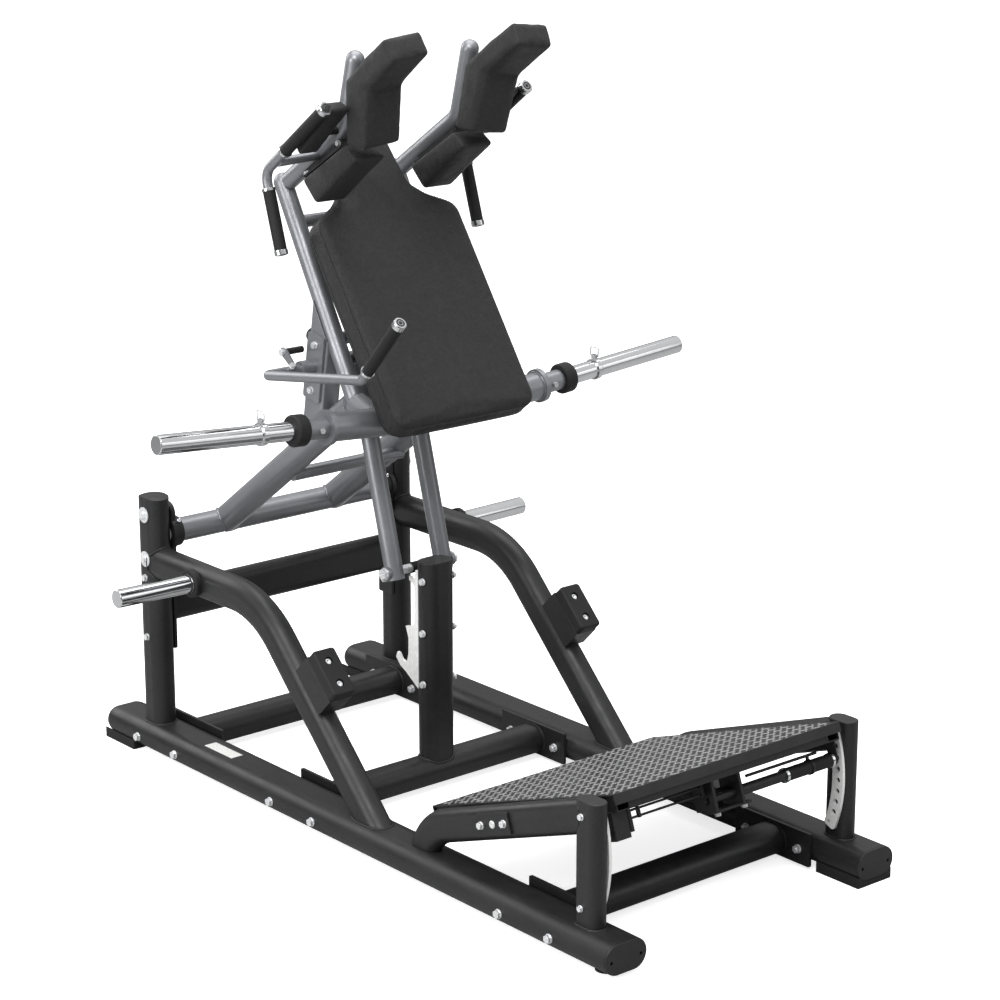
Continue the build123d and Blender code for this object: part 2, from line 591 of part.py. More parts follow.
# under-frame tubes: x0, x1, u0, u1
FRAME_TUBES = [(-372, -332, -375, 323), (332, 372, -375, 323), (-332, 332, -375, -335),
               (-332, 332, -20, 20), (-332, 332, 283, 323)]


def frame_tube(x0, x1, u0, u1):
    """square tube under the tread, open at both ends"""
    x_inset = 3 if x1 - x0 < 100 else -5
    u_inset = 3 if u1 - u0 < 100 else -5
    return (platform_box(x0, x1, u0, u1, UNDER - 40, UNDER)
            - platform_box(x0 + x_inset, x1 - x_inset, u0 + u_inset, u1 - u_inset,
                           UNDER - 37, UNDER - 3))


frame = frame_tube(*FRAME_TUBES[0])
for tube in FRAME_TUBES[1:]:
    frame = frame + frame_tube(*tube)
# pivot lugs
for side in SIDES:
    x0, x1 = sorted((side * 372, side * 364))
    frame = frame + platform_box(x0, x1, -34, 34, -30, UNDER - 30)
    frame = frame - x_rod(side * 380, side * 340, PLAT_PIVOT, PLAT_PIN_R + 0.02)
# pin guides: a block under the left corner, a thin rounded lug beside the right index plate
frame = frame + platform_box(-376, -330, PIN_U - 21, PIN_U + 21, -72, UNDER - 38)
frame = (frame + platform_box(375, 378, PIN_U - 15, PIN_U + 15, PIN_V, UNDER - 4)
         + rod(on_platform(375, PIN_U, PIN_V), on_platform(378, PIN_U, PIN_V), 15.0))
for side in SIDES:
    frame = frame - x_rod(side * 320, side * 390, PIN, PIN_R + RUN)
# centre bracket: two hanging cheeks that guide the long pin bar, and a rocker lug
for x0, x1 in ((-62, -54), (28, 36)):
    frame = frame + platform_box(x0, x1, -362, -290, -80, UNDER - 38)
frame = frame - x_rod(-80, 60, PIN, 10 + RUN)
frame = frame + platform_box(-54, 28, -312, -290, -46, -38)
frame = frame + platform_box(-62, 66, -350, -318, -86, -80)
for x in BRACKET_BOLT_XS:
    frame = frame - rod(on_platform(x, -334, -90), on_platform(x, -334, -70), 4.2)
rocker_bore = Plane(origin=on_platform(ROCKER_X, ROCKER_U, -60), z_dir=PLAT_UP)
frame = frame - rocker_bore.location * Cylinder(ROCKER_R + RUN, 60)
put("platform_frame", frame)

plat_pin = x_rod(-364, ARM_OUT - 9, PLAT_PIVOT, PLAT_PIN_R)
plat_pin = chamfer(plat_pin.edges().sort_by(Axis.X)[0], 1.5)
bracket_bolts = [bolt(on_platform(x, -334, -86), PLAT_UP, 14, radius=4.0, flats=14, head=8,
                      washer_r=9, washer_t=1.6, nut=False) for x in BRACKET_BOLT_XS]
put("platform_pins", both(plat_pin), bracket_bolts)

# right lock pin: long bar with its grip, rings and pin nose, drawn clear of the index plate
PIN_BAR_R = 10.0
NOSE_X = RAIL_X - FRONT_POST_W / 2 - INDEX_T - 1.0
GRIP_X0, GRIP_X1, GRIP_RING_T = 205, 358, 8
pin_bar = x_rod(-42, 340, PIN, PIN_BAR_R) + x_rod(48, GRIP_X0 - GRIP_RING_T, PIN, 13.5)
pin_bar = chamfer(pin_bar.edges().sort_by(Axis.X)[0], 1.5)
right_pin = x_rod(340, 366, PIN, PIN_BAR_R) + x_rod(366, NOSE_X, PIN, PIN_R)
right_pin = chamfer(right_pin.edges().sort_by(Axis.X)[-1], 1.0)
put("lock_pin_grip", x_ring(GRIP_X0, GRIP_X1, PIN, 17.0, PIN_BAR_R))
put("lock_pin_right", right_pin, [x_ring(x, x + GRIP_RING_T, PIN, 19.0, PIN_BAR_R)
                                  for x in (GRIP_X0 - GRIP_RING_T, GRIP_X1)])
# thin tie rod above the grip, held by a clip
CLIP_X0, CLIP_X1, CLIP_R = 286, 293, 17.02
tie = (rod(on_platform(78, PIN_U, -24), on_platform(322, PIN_U, -24), 4.0)
       + x_ring(CLIP_X0, CLIP_X1, PIN, 19.5, CLIP_R))
tie = tie + platform_box(CLIP_X0, CLIP_X1, PIN_U - 3, PIN_U + 3, PIN_V + 17.5, -24)
put("lock_bar_right", pin_bar, tie - x_rod(280, 300, PIN, CLIP_R))

# left lock pin with its two thin pull rods
left_pin = x_rod(-NOSE_X, -316, PIN, PIN_R)
left_pin = chamfer(left_pin.edges().sort_by(Axis.X)[0], 1.0)
left_pin = left_pin + platform_box(-318, -308, PIN_U - 10, PIN_U + 10, PIN_V - 10, -10)
for v in (-15, -33):
    left_pin = left_pin + rod(on_platform(-309, PIN_U, v), on_platform(-75, PIN_U, v), 3.0)
left_pin = (left_pin + platform_box(-80, -70, PIN_U - 8, PIN_U + 8, -40, -10)
            + platform_box(-281, -274, -339, -330, -37, -11))
put("lock_pin_left", left_pin)

# rocker that turns the bar's stroke round for the left pin
rocker = platform_box(ROCKER_X - 6, ROCKER_X + 6, ROCKER_U - 13, ROCKER_U + 13, -37.9, -30)
rocker_foot = Plane(origin=on_platform(ROCKER_X, ROCKER_U, -56), z_dir=PLAT_UP)
rocker = rocker + rocker_foot.location * Cylinder(ROCKER_R, 26, align=FROM_BASE)
put("lock_rocker", rocker)

# ---------------------------------------------------------------- carriage: swing frame
SWING_X = POST_IN - BEARING_T - 3.0    # end of the pivot tube
FLANGE_IN, FLANGE_OUT = 350.0, 364.0   # horn flange discs on the cross tube
ELBOW = (1312.0, 1084.0)               # stubs that tie the cross tube to the arm ends


def horn(x):
    """point on a load horn's axis"""
    tilt = radians(HORN_TILT)
    return (x, CROSS_TUBE_Y, CROSS_TUBE_Z + abs(x) * sin(tilt) / cos(tilt))


outer = x_rod(-SWING_X, SWING_X, PIVOT, PIVOT_TUBE_R)
inner = x_rod(-SWING_X + 8, SWING_X - 8, PIVOT, PIVOT_TUBE_R - 4)
for side in SIDES:
    x = side * ARM_X
    outer = outer + rod((x, *PIVOT), (x, *ARM_END), ARM_R)
    inner = inner + rod((x, PIVOT[0] - 8, PIVOT[1] + 6), (x, ARM_END[0] + 12, ARM_END[1] - 9),
                        ARM_R - 3.5)
outer = outer + x_rod(-ARM_X, ARM_X, (1604.0, 832.0), 18.0)
for side in SIDES:
    x = side * ARM_X
    outer = outer + rod(horn(0), horn(side * FLANGE_IN), 38.0)
    outer = outer + rod(horn(side * (FLANGE_IN - 1)), horn(side * FLANGE_OUT), 46.0)
    outer = outer + rod((x, *ELBOW), horn(x), 33.0)
swing = outer - inner
for side in SIDES:
    x = side * ARM_X
    swing = swing - rod((x, *ELBOW), Vector(*horn(x)) + Vector(0, 20, 6), 29.5)
for side in SIDES:
    swing = swing - rod(horn(side * (FLANGE_IN - 14)), horn(0), 34.5)
# seats of the stub shafts and the load horns
for side in SIDES:
    swing = swing - x_rod(side * (SWING_X + 1), side * (SWING_X - 40), PIVOT, 15.0)
    swing = swing - rod(horn(side * (FLANGE_OUT - 9)), horn(side * (FLANGE_OUT + 5)), 13.0)
put("swing_frame", swing)

stub = x_rod(-(POST_IN - 1), -(SWING_X + 0.2), PIVOT, STUB_R)
stub = stub + x_rod(-(SWING_X + 0.5), -(SWING_X - 38), PIVOT, 14.95)
stub = stub - x_rod(-POST_IN, -(POST_IN - 10), PIVOT, 12.0)
put("pivot_stub_shafts", both(stub))

# ---------------------------------------------------------------- load horns
COLLAR_X0, COLLAR_X1 = 430, 468
lock_x, lock_y, lock_z = horn(-392)    # lock screw in the sleeve


def lock_rod(start, end, radius):
    """rod on the lock screw's axis, measured forwards from the horn's axis"""
    return rod((lock_x, lock_y - start, lock_z), (lock_x, lock_y - end, lock_z), radius)


sleeve = ring(horn(-FLANGE_OUT - 0.02), horn(-429), 28.0, HORN_R + RUN)
put("load_horn_sleeves", both(sleeve - lock_rod(0, 40, 4.2)))
load_horn = (rod(horn(-COLLAR_X1), horn(-HORN_END_X), HORN_R)
             + rod(horn(-FLANGE_OUT), horn(-COLLAR_X1 - 1), HORN_R - 0.1))
load_horn = load_horn - ring(horn(-569), horn(-571), 30, HORN_R - 0.6)
load_horn = chamfer(load_horn.edges().sort_by(Axis.X)[0], 2.0)
load_horn = load_horn + rod(horn(-FLANGE_OUT + 8.5), horn(-FLANGE_OUT - 2), 12.9)
load_horn = load_horn - lock_rod(16, 40, 4.2)
lock_screw = lock_rod(17, 29, 4.0) + lock_rod(28.6, 35, 7.5)
put("load_horns", both(load_horn, lock_screw))
collar = rod(horn(-COLLAR_X0), horn(-COLLAR_X1), 41.5)
collar = fillet(collar.edges().sort_by(Axis.X)[0], 7)
collar = fillet(collar.edges().sort_by(Axis.X)[-1], 5)
put("load_horn_collars", both(collar - rod(horn(-420), horn(-475), HORN_R)))


def stop_ring(side):
    """ring on a load horn with a lug on top, and the wire loop through the lug"""
    body = ring(horn(side * 553), horn(side * 567), 29.5, HORN_R + RUN)
    x, y, z = horn(side * 560)
    lug = Pos(x, y, z + 34) * Box(10, 16, 12)
    lug = lug - rod((x, y - 20, z + 35), (x, y + 20, z + 35), 2.2)
    body = (body + lug) - rod(horn(side * 540), horn(side * 580), HORN_R + RUN)
    # wire corners, offset in (y, z)
    loop = [(0, 35), (15, 35), (15, 60), (-15, 60), (-15, 35), (-0.6, 35)]
    return body, bent_rod([(x, y + dy, z + dz) for dy, dz in loop], 1.8, 4.0)


put("stop_ring_left", stop_ring(-1))
put("stop_ring_right", stop_ring(1))

# ---------------------------------------------------------------- back pad frame of reference
PAD_BOTTOM, PAD_UPPER = Vector(0, 1068.0, 1066.0), Vector(0, 1392.0, 1540.0)  # on its front face
PAD_T, BOARD_T = 63.0, 14.0
BACK_OF_BOARD = PAD_T + BOARD_T + 0.1
pad_up = (PAD_UPPER - PAD_BOTTOM).normalized()
pad_out = Vector(0, -pad_up.Z, pad_up.Y)


def pad_plane(x, along, out):
    """plane facing out of the pad: along its front face upwards, out in front of it"""
    point = PAD_BOTTOM + pad_up * along + pad_out * out
    return Plane(origin=Vector(x, point.Y, point.Z), x_dir=X_DIR, z_dir=pad_out)


def standoff(x, at):
    """web and foot from a cross bar at (y, z) forward to the back of the pad board"""
    offset = Vector(0, *at) - PAD_BOTTOM
    along, out = offset.dot(pad_up), offset.dot(pad_out)
    web = pad_plane(x, along, (out - BACK_OF_BOARD) / 2).location * Box(
        8, 56, -BACK_OF_BOARD - out)
    return web + pad_plane(x, along, -BACK_OF_BOARD - 3).location * Box(52, 74, 6)


# ---------------------------------------------------------------- back frame
back_bottom, back_top = Vector(0, *BACK_TUBE_BOTTOM), Vector(0, *BACK_TUBE_TOP)
back_up = (back_top - back_bottom).normalized()
# cross bars: fraction of the way up the back tubes, x of the standoffs
BACK_BARS = [(0.30, (-110, 110)), (0.82, (-58, 58))]


def bar_at(fraction):
    point = back_bottom + (back_top - back_bottom) * fraction
    return (point.Y, point.Z)


def back_tube(side):
    tube = rod((side * ARM_X, *BACK_TUBE_BOTTOM), (side * ARM_X, *BACK_TUBE_TOP), BACK_TUBE_R)
    return tube + Pos(side * ARM_X, *BACK_TUBE_TOP) * Sphere(BACK_TUBE_R)


def shoulder_bend(radius):
    points = [(-ARM_X, *point) for point in SHOULDER_LINE]
    return bent_rod(points, radius, SHOULDER_BEND_R)


back = back_tube(-1) + back_tube(1)
for fraction, _ in BACK_BARS:
    back = back + x_rod(-ARM_X, ARM_X, bar_at(fraction), 17)
for fraction, standoff_xs in BACK_BARS:
    for x in standoff_xs:
        back = back + standoff(x, bar_at(fraction))
# sockets of the shoulder tubes
shoulder_dir = (Vector(0, *SHOULDER_LINE[1]) - Vector(0, *SHOULDER_LINE[0])).normalized()
for side in SIDES:
    foot = Vector(side * ARM_X, *SHOULDER_LINE[0])
    back = back + rod(foot - shoulder_dir * 2, foot + shoulder_dir * 34, 32)
back = back - swing
shoulder_tube = shoulder_bend(SHOULDER_R)
shoulder_tube = shoulder_tube + Pos(-ARM_X, *SHOULDER_LINE[2]) * Sphere(SHOULDER_R)
shoulder_cut = shoulder_bend(SHOULDER_R + 0.02)
back = largest(back - shoulder_cut - mirror_x(shoulder_cut))

# uprights: boxed members between the arms and the back tubes, carrying the prop pivot
UPRIGHT_W, UPRIGHT_D = 60, 78
upright_dir = Vector(0, -39.0, 235.0).normalized()
prop_pivot = Vector(0, *PROP_PIVOT)
upright_plane = Plane(origin=prop_pivot, x_dir=X_DIR, z_dir=upright_dir)
upright_box = Box(UPRIGHT_W, UPRIGHT_D, 420)
upright_box = fillet(upright_box.edges().filter_by(Axis.Z), 8)
upright_box = upright_box - Box(UPRIGHT_W - 6, UPRIGHT_D - 6, 430)
upright = upright_plane.location * (Pos(-ARM_X, 0, 10) * upright_box)
# trimmed above along the back tube and below on the arm
back_solid = rod((-ARM_X, *BACK_TUBE_BOTTOM), Vector(-ARM_X, *BACK_TUBE_TOP) + back_up * 40,
                 BACK_TUBE_R)
above_plane = Plane(origin=(-ARM_X, *BACK_TUBE_BOTTOM), x_dir=X_DIR, z_dir=back_up)
above = above_plane.location * (Pos(0, -150, 300) * Box(120, 300, 900))
arm_solid = rod((-ARM_X, *PIVOT), (-ARM_X, *ARM_END), ARM_R)
arm_dir = (Vector(0, *ARM_END) - Vector(0, *PIVOT)).normalized()
below_plane = Plane(origin=(-ARM_X, *PIVOT), x_dir=X_DIR, z_dir=arm_dir)
below = below_plane.location * (Pos(0, -150, 450) * Box(120, 300, 1200))
upright = upright - back_solid - above - arm_solid - below
upright = drill(upright, -ARM_X - 60, -ARM_X + 60, [PROP_PIVOT], 19)
upright_bolt_at = [(c.Y, c.Z) for c in (prop_pivot + upright_dir * s for s in (-66.0, 60.0))]
upright = largest(drill(upright, -ARM_X - 60, -ARM_X + 60, upright_bolt_at, M10_HOLE))
put("uprights", both(upright))
back = back - upright - mirror_x(upright)
put("back_frame", largest(back), both(shoulder_tube))

# bolted bearing plates with bushes on the outer faces of the uprights
UPRIGHT_OUT = ARM_X + UPRIGHT_W / 2
BUSH_PLATE_T = 8
bush = upright_plane.location * (Pos(-UPRIGHT_OUT - BUSH_PLATE_T / 2, 0, -2) * fillet(
    Box(BUSH_PLATE_T, 70, 182).edges().filter_by(Axis.X), 8))
bush = bush + x_rod(-UPRIGHT_OUT - 20, -UPRIGHT_OUT + 6, PROP_PIVOT, 17.95)
bush = drill(bush, -UPRIGHT_OUT - 40, -UPRIGHT_OUT + 40, [PROP_PIVOT], PROP_PIVOT_R + RUN)
bush = drill(bush, -UPRIGHT_OUT - 20, -UPRIGHT_OUT + 20, upright_bolt_at, M10_HOLE)
put("prop_bearing_plates", both(bush))
bush_bolts = [both(*bolt((-UPRIGHT_OUT - BUSH_PLATE_T, *at), X_DIR, UPRIGHT_W + BUSH_PLATE_T,
                         **M10)) for at in upright_bolt_at]

# rubber stop on the back of the left upright
rearwards = Vector(0, upright_dir.Z, -upright_dir.Y)
stop_foot = (prop_pivot + upright_dir * 70 + Vector(-ARM_X - 12, 0, 0)
             + rearwards * (UPRIGHT_D / 2))
stop = rod(stop_foot, stop_foot + rearwards * 15, 19)
put("stop_bumper", fillet(stop.edges().sort_by(Axis.Y)[-1], 4))

# ---------------------------------------------------------------- prop frame
LEG_OUT = PROP_X + PROP_R
prop = x_ring(-140, 140, PROP_PIVOT, 24.0, PROP_PIVOT_R)
prop_dir = (Vector(0, *PROP_FOOT) - prop_pivot).normalized()
for side in SIDES:
    top = Vector(side * PROP_X, *PROP_PIVOT)
    end = Vector(side * PROP_X, *PROP_FOOT) + prop_dir * 22
    prop = prop + (rod(top, end, PROP_R)
                   - rod(top + prop_dir * 20, end - prop_dir * 60, PROP_R - 3))
    prop = prop + x_rod(side * (LEG_OUT - 4), side * (LEG_OUT + 6), PROP_FOOT, 19)
prop = prop - x_rod(-150, 150, PROP_PIVOT, PROP_PIVOT_R)
prop = prop - x_rod(-150, 150, PROP_FOOT, SHAFT_R + 0.02)
put("prop_frame", prop)
foot_shaft = x_rod(-(LEG_OUT + 5), LEG_OUT + 5, PROP_FOOT, SHAFT_R)
for side in SIDES:
    foot_shaft = foot_shaft - x_rod(side * 120, side * 88, PROP_FOOT, 5.1)
put("prop_shaft_sleeve", x_ring(-28, 28, PROP_FOOT, 15.0, SHAFT_R))
shaft_bolts = [bolt((side * (LEG_OUT + 6), *PROP_FOOT), (-side, 0, 0), 24, radius=5.0,
                    flats=27, head=9, washer_r=16, washer_t=2, nut=False) for side in SIDES]

BOSS_X = -(UPRIGHT_OUT + 21.0)         # inner face of the lever boss
pivot_shaft = x_rod(BOSS_X - 26, UPRIGHT_OUT + 23, PROP_PIVOT, PROP_PIVOT_R)
# collar on the plain end
end_collar = x_ring(UPRIGHT_OUT + 21, UPRIGHT_OUT + 33, PROP_PIVOT, 23, PROP_PIVOT_R)
end_collar = end_collar + x_rod(UPRIGHT_OUT + 23.02, UPRIGHT_OUT + 33, PROP_PIVOT, 16.0)
put("prop_pivot_shaft", pivot_shaft, end_collar)

# ---------------------------------------------------------------- release lever
STOP_ROD_AT = (1490, 1206)
LEVER_BRACKET = [(1436, 1175), (1459, 1173), (1505, 1204), (1496, 1218), (1478, 1214)]  # (y, z)
grip_foot, grip_top = Vector(LEVER_X, 1041.0, 1241.0), Vector(LEVER_X, 904.0, 1391.0)
grip_dir = (grip_top - grip_foot).normalized()
boss_bore = x_rod(BOSS_X + 5, BOSS_X - 26, PROP_PIVOT, PROP_PIVOT_R)
lever = x_rod(BOSS_X, BOSS_X - 32, PROP_PIVOT, 21)
lever = lever + bent_rod([(BOSS_X - 28, *PROP_PIVOT), (LEVER_X - 22, *PROP_PIVOT),
                          grip_foot - grip_dir * 31, grip_foot + grip_dir * 10],
                         GRIP_TUBE_R, 20)
lever = lever - boss_bore
lever_plate = side_profile(-292, 7, polygon(LEVER_BRACKET))
lever_plate = lever_plate - x_rod(-300, -280, STOP_ROD_AT, 5.2)
lever = lever + (lever_plate - boss_bore)
stop_rod = x_rod(-285, -227, STOP_ROD_AT, 9.0)
stop_rod = stop_rod - x_rod(-286, -270, STOP_ROD_AT, 5.05)
stop_rod = fillet(stop_rod.edges().sort_by(Axis.X)[-1], 3)
stop_screw = x_rod(-299, -292, STOP_ROD_AT, 9.0) + x_rod(-293, -271, STOP_ROD_AT, 5.0)
# small boss and bolt that clamp the lever on its shaft
clamp_axis, clamp_dir = Vector(-301.2, *PROP_PIVOT), Vector(0, -0.6, 0.8)
lever = lever + rod(clamp_axis + clamp_dir * 4, clamp_axis + clamp_dir * 16, 8.0)
lever = lever - rod(clamp_axis + clamp_dir * 7, clamp_axis + clamp_dir * 17, 3.0 + BOLT_GAP)
clamp_bolt = bolt(clamp_axis + clamp_dir * 16, clamp_dir * -1, 8, radius=3.0, flats=14, head=8,
                  washer_r=8.6, washer_t=1.6, nut=False)
put("prop_shaft", foot_shaft, shaft_bolts, stop_screw, clamp_bolt)
put("stop_rod", stop_rod)


def grip(start, end, radius, cap_length, ring_start):
    """rubber sleeve, the chrome ring at its foot and the chrome cap at its end"""
    step = (end - start).normalized()
    ring_end = start + step * (ring_start + 7.0)
    cap_start = end - step * cap_length
    rubber = ring(ring_end, cap_start, radius, GRIP_TUBE_R)
    foot_ring = ring(start + step * ring_start, ring_end, radius + 2.0, GRIP_TUBE_R)
    cap = rod(cap_start, end, radius + 1.5)
    end_edge = sorted(cap.edges(), key=lambda e: (e.center() - end).length)[0]
    return rubber, foot_ring, chamfer(end_edge, 2.0)


lever_rubber, lever_ring, lever_cap = grip(grip_foot - grip_dir * 2, grip_top, 16.0, 16, 2)
# the tube runs on inside the grip
lever_core = rod(grip_foot + grip_dir * 10, grip_top - grip_dir * 16, GRIP_TUBE_R)
put("release_lever", largest(lever) + lever_core)
put("release_grip", lever_rubber)
put("release_grip_ends", lever_ring, lever_cap)

# ---------------------------------------------------------------- shoulder handles
HANDLE_X = -328.0
up_foot, up_end = Vector(HANDLE_X, 1412.0, 1746.0), Vector(HANDLE_X, 1233.0, 1876.0)
low_foot, low_end = Vector(HANDLE_X, 1486.0, 1643.0), Vector(HANDLE_X, 1434.0, 1476.0)
up_dir = (up_end - up_foot).normalized()
low_dir = (low_end - low_foot).normalized()
# the corner is where the two grip lines meet
gap = low_foot - up_foot
reach = ((gap.Z * low_dir.Y - gap.Y * low_dir.Z)
         / (up_dir.Z * low_dir.Y - up_dir.Y * low_dir.Z))
handle = bent_rod([up_end - up_dir * 16, up_foot + up_dir * reach, low_end - low_dir * 14],
                  GRIP_TUBE_R, 42)
handle = handle + rod((HANDLE_X, 1440, 1716), (-ARM_X - 4, 1440, 1722), 12.0)
handle = largest(handle - shoulder_tube)
put("shoulder_handles", both(handle))
up_rubber, up_ring, up_cap = grip(up_foot, up_end, 16.5, 16, 0)
low_rubber, low_ring, low_cap = grip(low_foot, low_end, 16.5, 14, 0)
put("shoulder_grips", both(up_rubber, low_rubber))
put("shoulder_grip_ends", both(up_ring, low_ring, up_cap, low_cap))

# ---------------------------------------------------------------- back pad and board
# right half of the pad outline, bottom to top: x, distance up the pad, corner radius
PAD_OUTLINE = [(235.0, 0, 42), (235.0, 598.0, 52), (148, 640, 60), (108, 672, 40),
               (84.0, 828.0, 26)]


def pad_face(inset):
    """pad outline: round bottom corners, rounded shoulders and a narrow neck"""
    right = [(x - inset, inset if y == 0 else y - inset, r) for x, y, r in PAD_OUTLINE]
    corners = right + [(-x, y, r) for x, y, r in reversed(right)]
    face = polygon([(x, y) for x, y, _ in corners])
    for x, y, radius in corners:
        corner = [v for v in face.vertices() if abs(v.X - x) < 0.01 and abs(v.Y - y) < 0.01]
        face = fillet(corner, radius - (inset / 2 if radius > 30 else 0))
    return face


pad_back = pad_plane(0, 0, -PAD_T)
put("back_board", extrude(pad_back.offset(-BOARD_T) * pad_face(11), BOARD_T))
pad = extrude(pad_back * pad_face(0), PAD_T)
pad_front = pad.faces().sort_by(lambda f: -(f.center() - PAD_BOTTOM).dot(pad_out))[0]
put("back_pad", fillet(pad_front.edges(), 11))

# ---------------------------------------------------------------- shoulder pads
# side outlines (y, z)
UPPER_PAD = [(1203, 1768), (1166, 1921), (1049, 2011), (1082, 2066), (1166, 2012),
             (1258, 1941), (1279, 1772)]
UPPER_CARRIER = [(1279.5, 1790), (1263, 1926), (1273, 1929), (1289.5, 1792)]
LOWER_PAD = [(1482, 1655), (1424, 1599), (1246, 1734), (1300, 1766)]
REAR_PAD = [(1232, 1866), (1272, 1884), (1402, 1772), (1382, 1736)]
UPPER_PAD_X = 176.0
UPPER_PAD_LEAN = 6.0      # degrees, outwards at the top


def leaned(shape):
    """lean a piece outwards about the upper pads' foot and move it to the left pad"""
    turned = Rot(0, -UPPER_PAD_LEAN, 0) * (Pos(0, -1240, -1770) * shape)
    return Pos(-UPPER_PAD_X, 0, 0) * (Pos(0, 1240, 1770) * turned)


put("shoulder_pads", both(leaned(profile_pad(UPPER_PAD, -59.0, 118.0, 9, 8))))
carrier = leaned(side_profile(-40.0, 80.0, polygon(UPPER_CARRIER)))
carrier = largest(carrier - shoulder_tube)

# lower pads under the shoulder tubes, each on a plate and a block
plate_foot, plate_head = Vector(0, *LOWER_PAD[0]), Vector(0, *LOWER_PAD[3])
plate_dir = (plate_head - plate_foot).normalized()
plate_up = Vector(0, plate_dir.Z, -plate_dir.Y)
lower_plane = Plane(origin=(plate_foot + plate_head) * 0.5 + plate_up * 0.5, x_dir=X_DIR,
                    z_dir=plate_up)
lower_plate = lower_plane.location * (Pos(-ARM_X + 4, 0, 3) * Box(84, 190, 6))
lower_pad = profile_pad(LOWER_PAD, -228, 100, 8, 7)
put("lower_pads", both(largest(lower_pad - lower_plate)))
block = lower_plane.location * (Pos(-ARM_X, 17.0, 16) * Box(34, 186, 20)) - shoulder_tube
block = min(block.solids(), key=lambda s: s.center().Z)
pad_bracket = (lower_plate - shoulder_tube) + block
pad_bracket = largest(largest(pad_bracket) - handle)
pad_bolt_at = [(1348.6, 1763.3), (1485.4, 1667.6)]
pad_bracket = drill(pad_bracket, -206, -196, pad_bolt_at, M8_HOLE)
pad_bolts = []
for at in pad_bolt_at:
    pad_bolts += bolt((-204, *at), X_DIR, 6, radius=4.0, flats=13, head=6, washer_r=8.5,
                      washer_t=1.2, nut=False)

# round stub that carries each rear pad, welded on the shoulder tube
stub_solid = x_rod(-ARM_X, -262, (1350.0, 1796.0), 10.0)
rear_stub = stub_solid - shoulder_tube - handle
rear_stub = min(rear_stub.solids(), key=lambda s: s.center().X)
put("pad_brackets", both(largest(pad_bracket), carrier, rear_stub))
put("bearing_plate_bolts", bush_bolts, pad_bolts, [mirror_x(piece) for piece in pad_bolts])

# rear rest pads behind the handles
rear_pad = profile_pad(REAR_PAD, -309, 61.4, 8, 6)
put("rear_pads", both(largest(rear_pad - stub_solid - handle)))
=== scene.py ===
"""Gym machine: base rails, a tilted tread platform, and a swinging carriage with leather pads.

Sizes are machine millimetres unless a comment says metres; at() turns them into scene metres.
x runs across (left is -x), y from the platform back to the rear posts, z up from the floor.
"""
import bpy, bmesh
from math import sin, cos, tan, radians, pi, sqrt, copysign
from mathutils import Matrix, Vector
from mathutils.bvhtree import BVHTree


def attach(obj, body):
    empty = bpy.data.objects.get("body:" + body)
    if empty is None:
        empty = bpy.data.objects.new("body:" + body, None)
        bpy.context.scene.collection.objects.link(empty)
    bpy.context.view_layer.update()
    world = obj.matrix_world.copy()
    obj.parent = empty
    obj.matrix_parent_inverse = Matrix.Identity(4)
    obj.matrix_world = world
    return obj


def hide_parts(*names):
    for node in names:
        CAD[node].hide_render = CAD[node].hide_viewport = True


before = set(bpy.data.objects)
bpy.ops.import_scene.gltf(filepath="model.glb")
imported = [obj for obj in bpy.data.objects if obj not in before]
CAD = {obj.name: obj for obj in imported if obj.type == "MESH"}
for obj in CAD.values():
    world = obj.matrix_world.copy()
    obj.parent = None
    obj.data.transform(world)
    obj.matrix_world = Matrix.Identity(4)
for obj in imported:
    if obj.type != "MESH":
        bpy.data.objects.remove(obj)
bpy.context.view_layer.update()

MID_Y = 1.0655      # metres: machine y that lies at the scene's origin
SCENE = bpy.context.scene


def at(x, y, z):
    """machine millimetres to scene metres"""
    return Vector((x / 1000, y / 1000 - MID_Y, z / 1000))


def grey(level):
    return (level, level, level)


def scaled_colour(colour, factor):
    return tuple(c * factor for c in colour)


